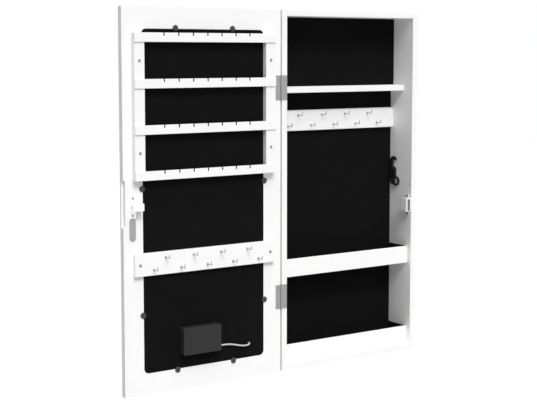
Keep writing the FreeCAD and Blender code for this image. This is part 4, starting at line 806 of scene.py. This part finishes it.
def wire_hook(root, sides=14):
    """Ring j at path point p: p + r (cos a X + sin a N), with N the path's direction turned a quarter turn.
    The start is closed by a ring of radius 0."""
    path, radius = wire_path(root)
    path = np.concatenate([path[:1], path])
    radius = np.concatenate([[0], radius])
    step = np.gradient(path[1:], axis=0)
    step = np.concatenate([step[:1], step])
    step /= np.linalg.norm(step, axis=1, keepdims=True)
    angle = np.linspace(0, 2 * np.pi, sides, endpoint=False)
    sideways = radius[:, None] * np.cos(angle)
    upward = radius[:, None] * np.sin(angle)
    out = path[:, :1] - upward * step[:, 1:]
    height = path[:, 1:] + upward * step[:, :1]
    points = np.stack([sideways, -out, height], -1).reshape(-1, 3)
    return points, cells_of(len(path), sides)


def wire_collar(sides=20):
    """A turned collar: a flat back, a rounded rim and a slightly sunk front that meets the wire."""
    radii = np.array([0, 1, 1, 0.93, 0.78, WIRE_RADIUS / COLLAR_RADIUS, 0]) * COLLAR_RADIUS
    heights = np.array([0, 0, 0.55, 0.88, 1.0, 0.86, 0.86]) * COLLAR_DEPTH
    points, faces = lathe(radii, heights, sides)
    return np.stack([points[:, 0], -points[:, 2], points[:, 1]], -1), faces


def hook_row(node, rail):
    """Finished hooks in place of a node's plain ones, rooted in the face of their rail."""
    face_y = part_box(rail)[0].y
    seats, roots = [], []
    for low, high in solid_boxes(node):
        seats.append(((low[0] + high[0]) / 2, face_y, low[2] + COLLAR_RADIUS))
        roots.append(high[1] - face_y)
    (wires, wire_faces), (collars, collar_faces) = (
        copies(points, outwards(points, faces), seats)
        for points, faces in (wire_hook(min(roots)), wire_collar()))
    points = np.concatenate([wires, collars])
    faces = np.concatenate([wire_faces, collar_faces + len(wires)])
    return adopt(solid_piece(node + "_wire", points, faces), node)


for node, rail in (("inner_rail_hooks", "inner_hook_rail"), ("door_rail_hooks", "door_hook_rail")):
    row = hook_row(node, rail)
    print(row.name, len(row.data.polygons), "faces")

# %% [markdown]
# ## Mirror clips
#
# Small round clips hold the mirror's backing board against the door. Each is a turned disc with a soft rim and
# a shallow dish for its screw, so one lathe profile makes all eight.

# %% Mirror clips
def clip_disc(radius, thickness):
    """Profile from the back's centre, round the rim, to the dish in the front."""
    radii = np.array([0, 0.96, 1, 1, 0.97, 0.90, 0.62, 0.50, 0.42, 0]) * radius
    heights = np.array([0, 0, 0.06, 0.62, 0.86, 1.0, 1.0, 0.93, 0.74, 0.74]) * thickness
    return lathe(radii, heights, 40)


clip_boxes = solid_boxes("mirror_clips")
clip_seats = [((low[0] + high[0]) / 2, high[1], (low[2] + high[2]) / 2) for low, high in clip_boxes]
clip_size = clip_boxes[0][1] - clip_boxes[0][0]
clip_points, clip_faces = clip_disc(clip_size[0] / 2, clip_size[1])
clip_copies = copies(turned(clip_points, TO_VIEWER), clip_faces, clip_seats)
adopt(solid_piece("mirror_clips_turned", *clip_copies), "mirror_clips")
print(len(clip_seats), "clips turned")

# %% [markdown]
# ## The lamp lead
#
# A thin grey lead runs from the battery box into the backing board. It is soft but short, and held at both
# ends, so it rises a little, sags and turns up before its hole. Its control points are listed in front
# of the door's inner face, and a NURBS spline of order three draws one smooth line that they pull into shape.

# %% Lamp lead
LEAD_RADIUS = 2.0 * MM
LEAD_ROUTE = [(-0.6, 4.6, 7.7), (17, 4.8, 8.1), (34, 5.0, 7.0), (51, 5.3, 3.0),
              (67, 6.2, -1.0), (81, 7.6, -1.9), (91, 7.0, 2.1), (91, -4.0, 2.1)]
box_low, box_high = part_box("battery_box")
door_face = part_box("door_frame")[0].y


def lamp_lead():
    """Route points count from the box's right side and lower edge, outwards from the door's inner face."""
    curve = bpy.data.curves.new("lamp_lead", "CURVE")
    curve.dimensions = "3D"
    curve.bevel_depth = LEAD_RADIUS
    curve.bevel_resolution = 6
    curve.use_fill_caps = True
    curve.resolution_u = 16
    spline = curve.splines.new("NURBS")
    spline.points.add(len(LEAD_ROUTE) - 1)
    for point, (along, out, up) in zip(spline.points, LEAD_ROUTE):
        point.co = (box_high.x + along * MM, door_face - out * MM, box_low.z + up * MM, 1)
    spline.order_u = 3
    spline.use_endpoint_u = True
    piece = bpy.data.objects.new("lamp_lead", curve)
    bpy.context.scene.collection.objects.link(piece)
    return adopt(piece, "light_lead")


lamp_lead()
print("lead drawn through", len(LEAD_ROUTE), "points")

# %% [markdown]
# ## Light, floor and background
#
# The photograph's shadows tell where its lamps stood. The shadow of a hook runs steeply down its rail and a
# little to the right, so a small key lamp is high, in front and slightly to the left. The rail under the shelf
# darkens softly towards its top, which takes a broad lamp overhead and a second one in the ceiling. A side lamp
# softens the key's shadows, a back lamp lights the other views, and a pale world fills the rest. The floor lies
# well below, as under a cabinet on a wall. Rays from the camera, from metal and from glass see plain white,
# while the floor keeps its shadow.

# %% Light
STUDIO_LAMPS = {
    "key_lamp": ((-0.16, -0.65, 0.74), 0.28, 2),
    "overhead_lamp": ((-0.04, -0.60, 0.80), 0.54, 60),
    "side_lamp": ((-0.24, -0.66, 0.70), 0.20, 44),
    "ceiling_lamp": ((0.00, -0.35, 0.94), 0.16, 60),
    "back_lamp": ((0.50, 0.80, 0.34), 0.66, 60),
}
WORLD_LEVEL = 0.08


def studio_lamp(name, from_where, level, width):
    """A distant lamp, width degrees across. Face on, it lights a white surface to the given level."""
    data = bpy.data.lights.new(name, "SUN")
    data.energy = level * math.pi
    data.angle = math.radians(width)
    lamp = bpy.data.objects.new(name, data)
    lamp.rotation_mode = "QUATERNION"
    lamp.rotation_quaternion = (-Vector(from_where)).to_track_quat("-Z", "Y")
    bpy.context.scene.collection.objects.link(lamp)
    return lamp


for name, manner in STUDIO_LAMPS.items():
    studio_lamp(name, *manner)

world = bpy.data.worlds.new("studio")
bpy.context.scene.world = world
world.use_nodes = True
sky = world.node_tree
sky.nodes.clear()


def seen_rays(graph):
    """1 for rays from the camera, a gloss or a glass, 0 for the rays that carry light."""
    path = graph.nodes.new("ShaderNodeLightPath")
    total = path.outputs["Is Camera Ray"]
    for kind in ("Is Glossy Ray", "Is Transmission Ray"):
        most = graph.nodes.new("ShaderNodeMath")
        most.operation = "MAXIMUM"
        graph.links.new(total, most.inputs[0])
        graph.links.new(path.outputs[kind], most.inputs[1])
        total = most.outputs[0]
    return total


def shader_of(graph, kind, colour, **values):
    """A plain shader of one colour."""
    made = graph.nodes.new(kind)
    made.inputs["Color"].default_value = (*colour, 1)
    for socket, value in values.items():
        made.inputs[socket].default_value = value
    return made.outputs[0]


def choose(graph, factor, first, second):
    """The first shader where the factor is 0, the second where it is 1."""
    mix = graph.nodes.new("ShaderNodeMixShader")
    for socket, source in enumerate((factor, first, second)):
        graph.links.new(source, mix.inputs[socket])
    return mix.outputs[0]


def end_graph(graph, kind, result):
    """Show the result through an output node of the given kind."""
    graph.links.new(result, graph.nodes.new(kind).inputs["Surface"])


WHITE = (1, 1, 1)
lighting_sky = shader_of(sky, "ShaderNodeBackground", WHITE, Strength=WORLD_LEVEL)
white_sky = shader_of(sky, "ShaderNodeBackground", WHITE, Strength=1.0)
end_graph(sky, "ShaderNodeOutputWorld", choose(sky, seen_rays(sky), lighting_sky, white_sky))
print(len(STUDIO_LAMPS), "lamps and the world set")

# %% [markdown]
# The floor is a matt grey that carries the object's shadow. For the rays that see it, it also glows a little,
# just enough to come out white beside the white background. Rays that carry light don't meet that glow.

# %% Floor
FLOOR_DROP = 0.70
FLOOR_HALF = 14.0
FLOOR_TONE = 0.5
FLOOR_LIFT = 0.45

floor_mesh = bpy.data.meshes.new("studio_floor")
floor_z = cad_low.z - FLOOR_DROP
corners = [(x * FLOOR_HALF, y * FLOOR_HALF, floor_z) for x, y in ((-1, -1), (1, -1), (1, 1), (-1, 1))]
floor_mesh.from_pydata(corners, [], [(0, 1, 2, 3)])
floor = bpy.data.objects.new("studio_floor", floor_mesh)
bpy.context.scene.collection.objects.link(floor)
floor_finish = bpy.data.materials.new("studio_floor")
floor_finish.use_nodes = True
ground = floor_finish.node_tree
ground.nodes.clear()
matt = shader_of(ground, "ShaderNodeBsdfDiffuse", grey(FLOOR_TONE))
lift = shader_of(ground, "ShaderNodeEmission", WHITE, Strength=FLOOR_LIFT)
both = ground.nodes.new("ShaderNodeAddShader")
ground.links.new(matt, both.inputs[0])
ground.links.new(lift, both.inputs[1])
end_graph(ground, "ShaderNodeOutputMaterial", choose(ground, seen_rays(ground), matt, both.outputs[0]))
floor_mesh.materials.append(floor_finish)
floor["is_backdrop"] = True

bpy.context.scene.view_settings.view_transform = "Standard"
print("floor laid", round(FLOOR_DROP, 2), "m below the cabinet")

# %% [markdown]
# ## Check the size and finish
#
# Nothing above may change the object's size.

# %% Size and end
low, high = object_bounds()
growth = [(after - before) / MM for before, after in zip((*cad_low, *cad_high), (*low, *high))]
print("grown by, in millimetres:", [round(part, 2) for part in growth])
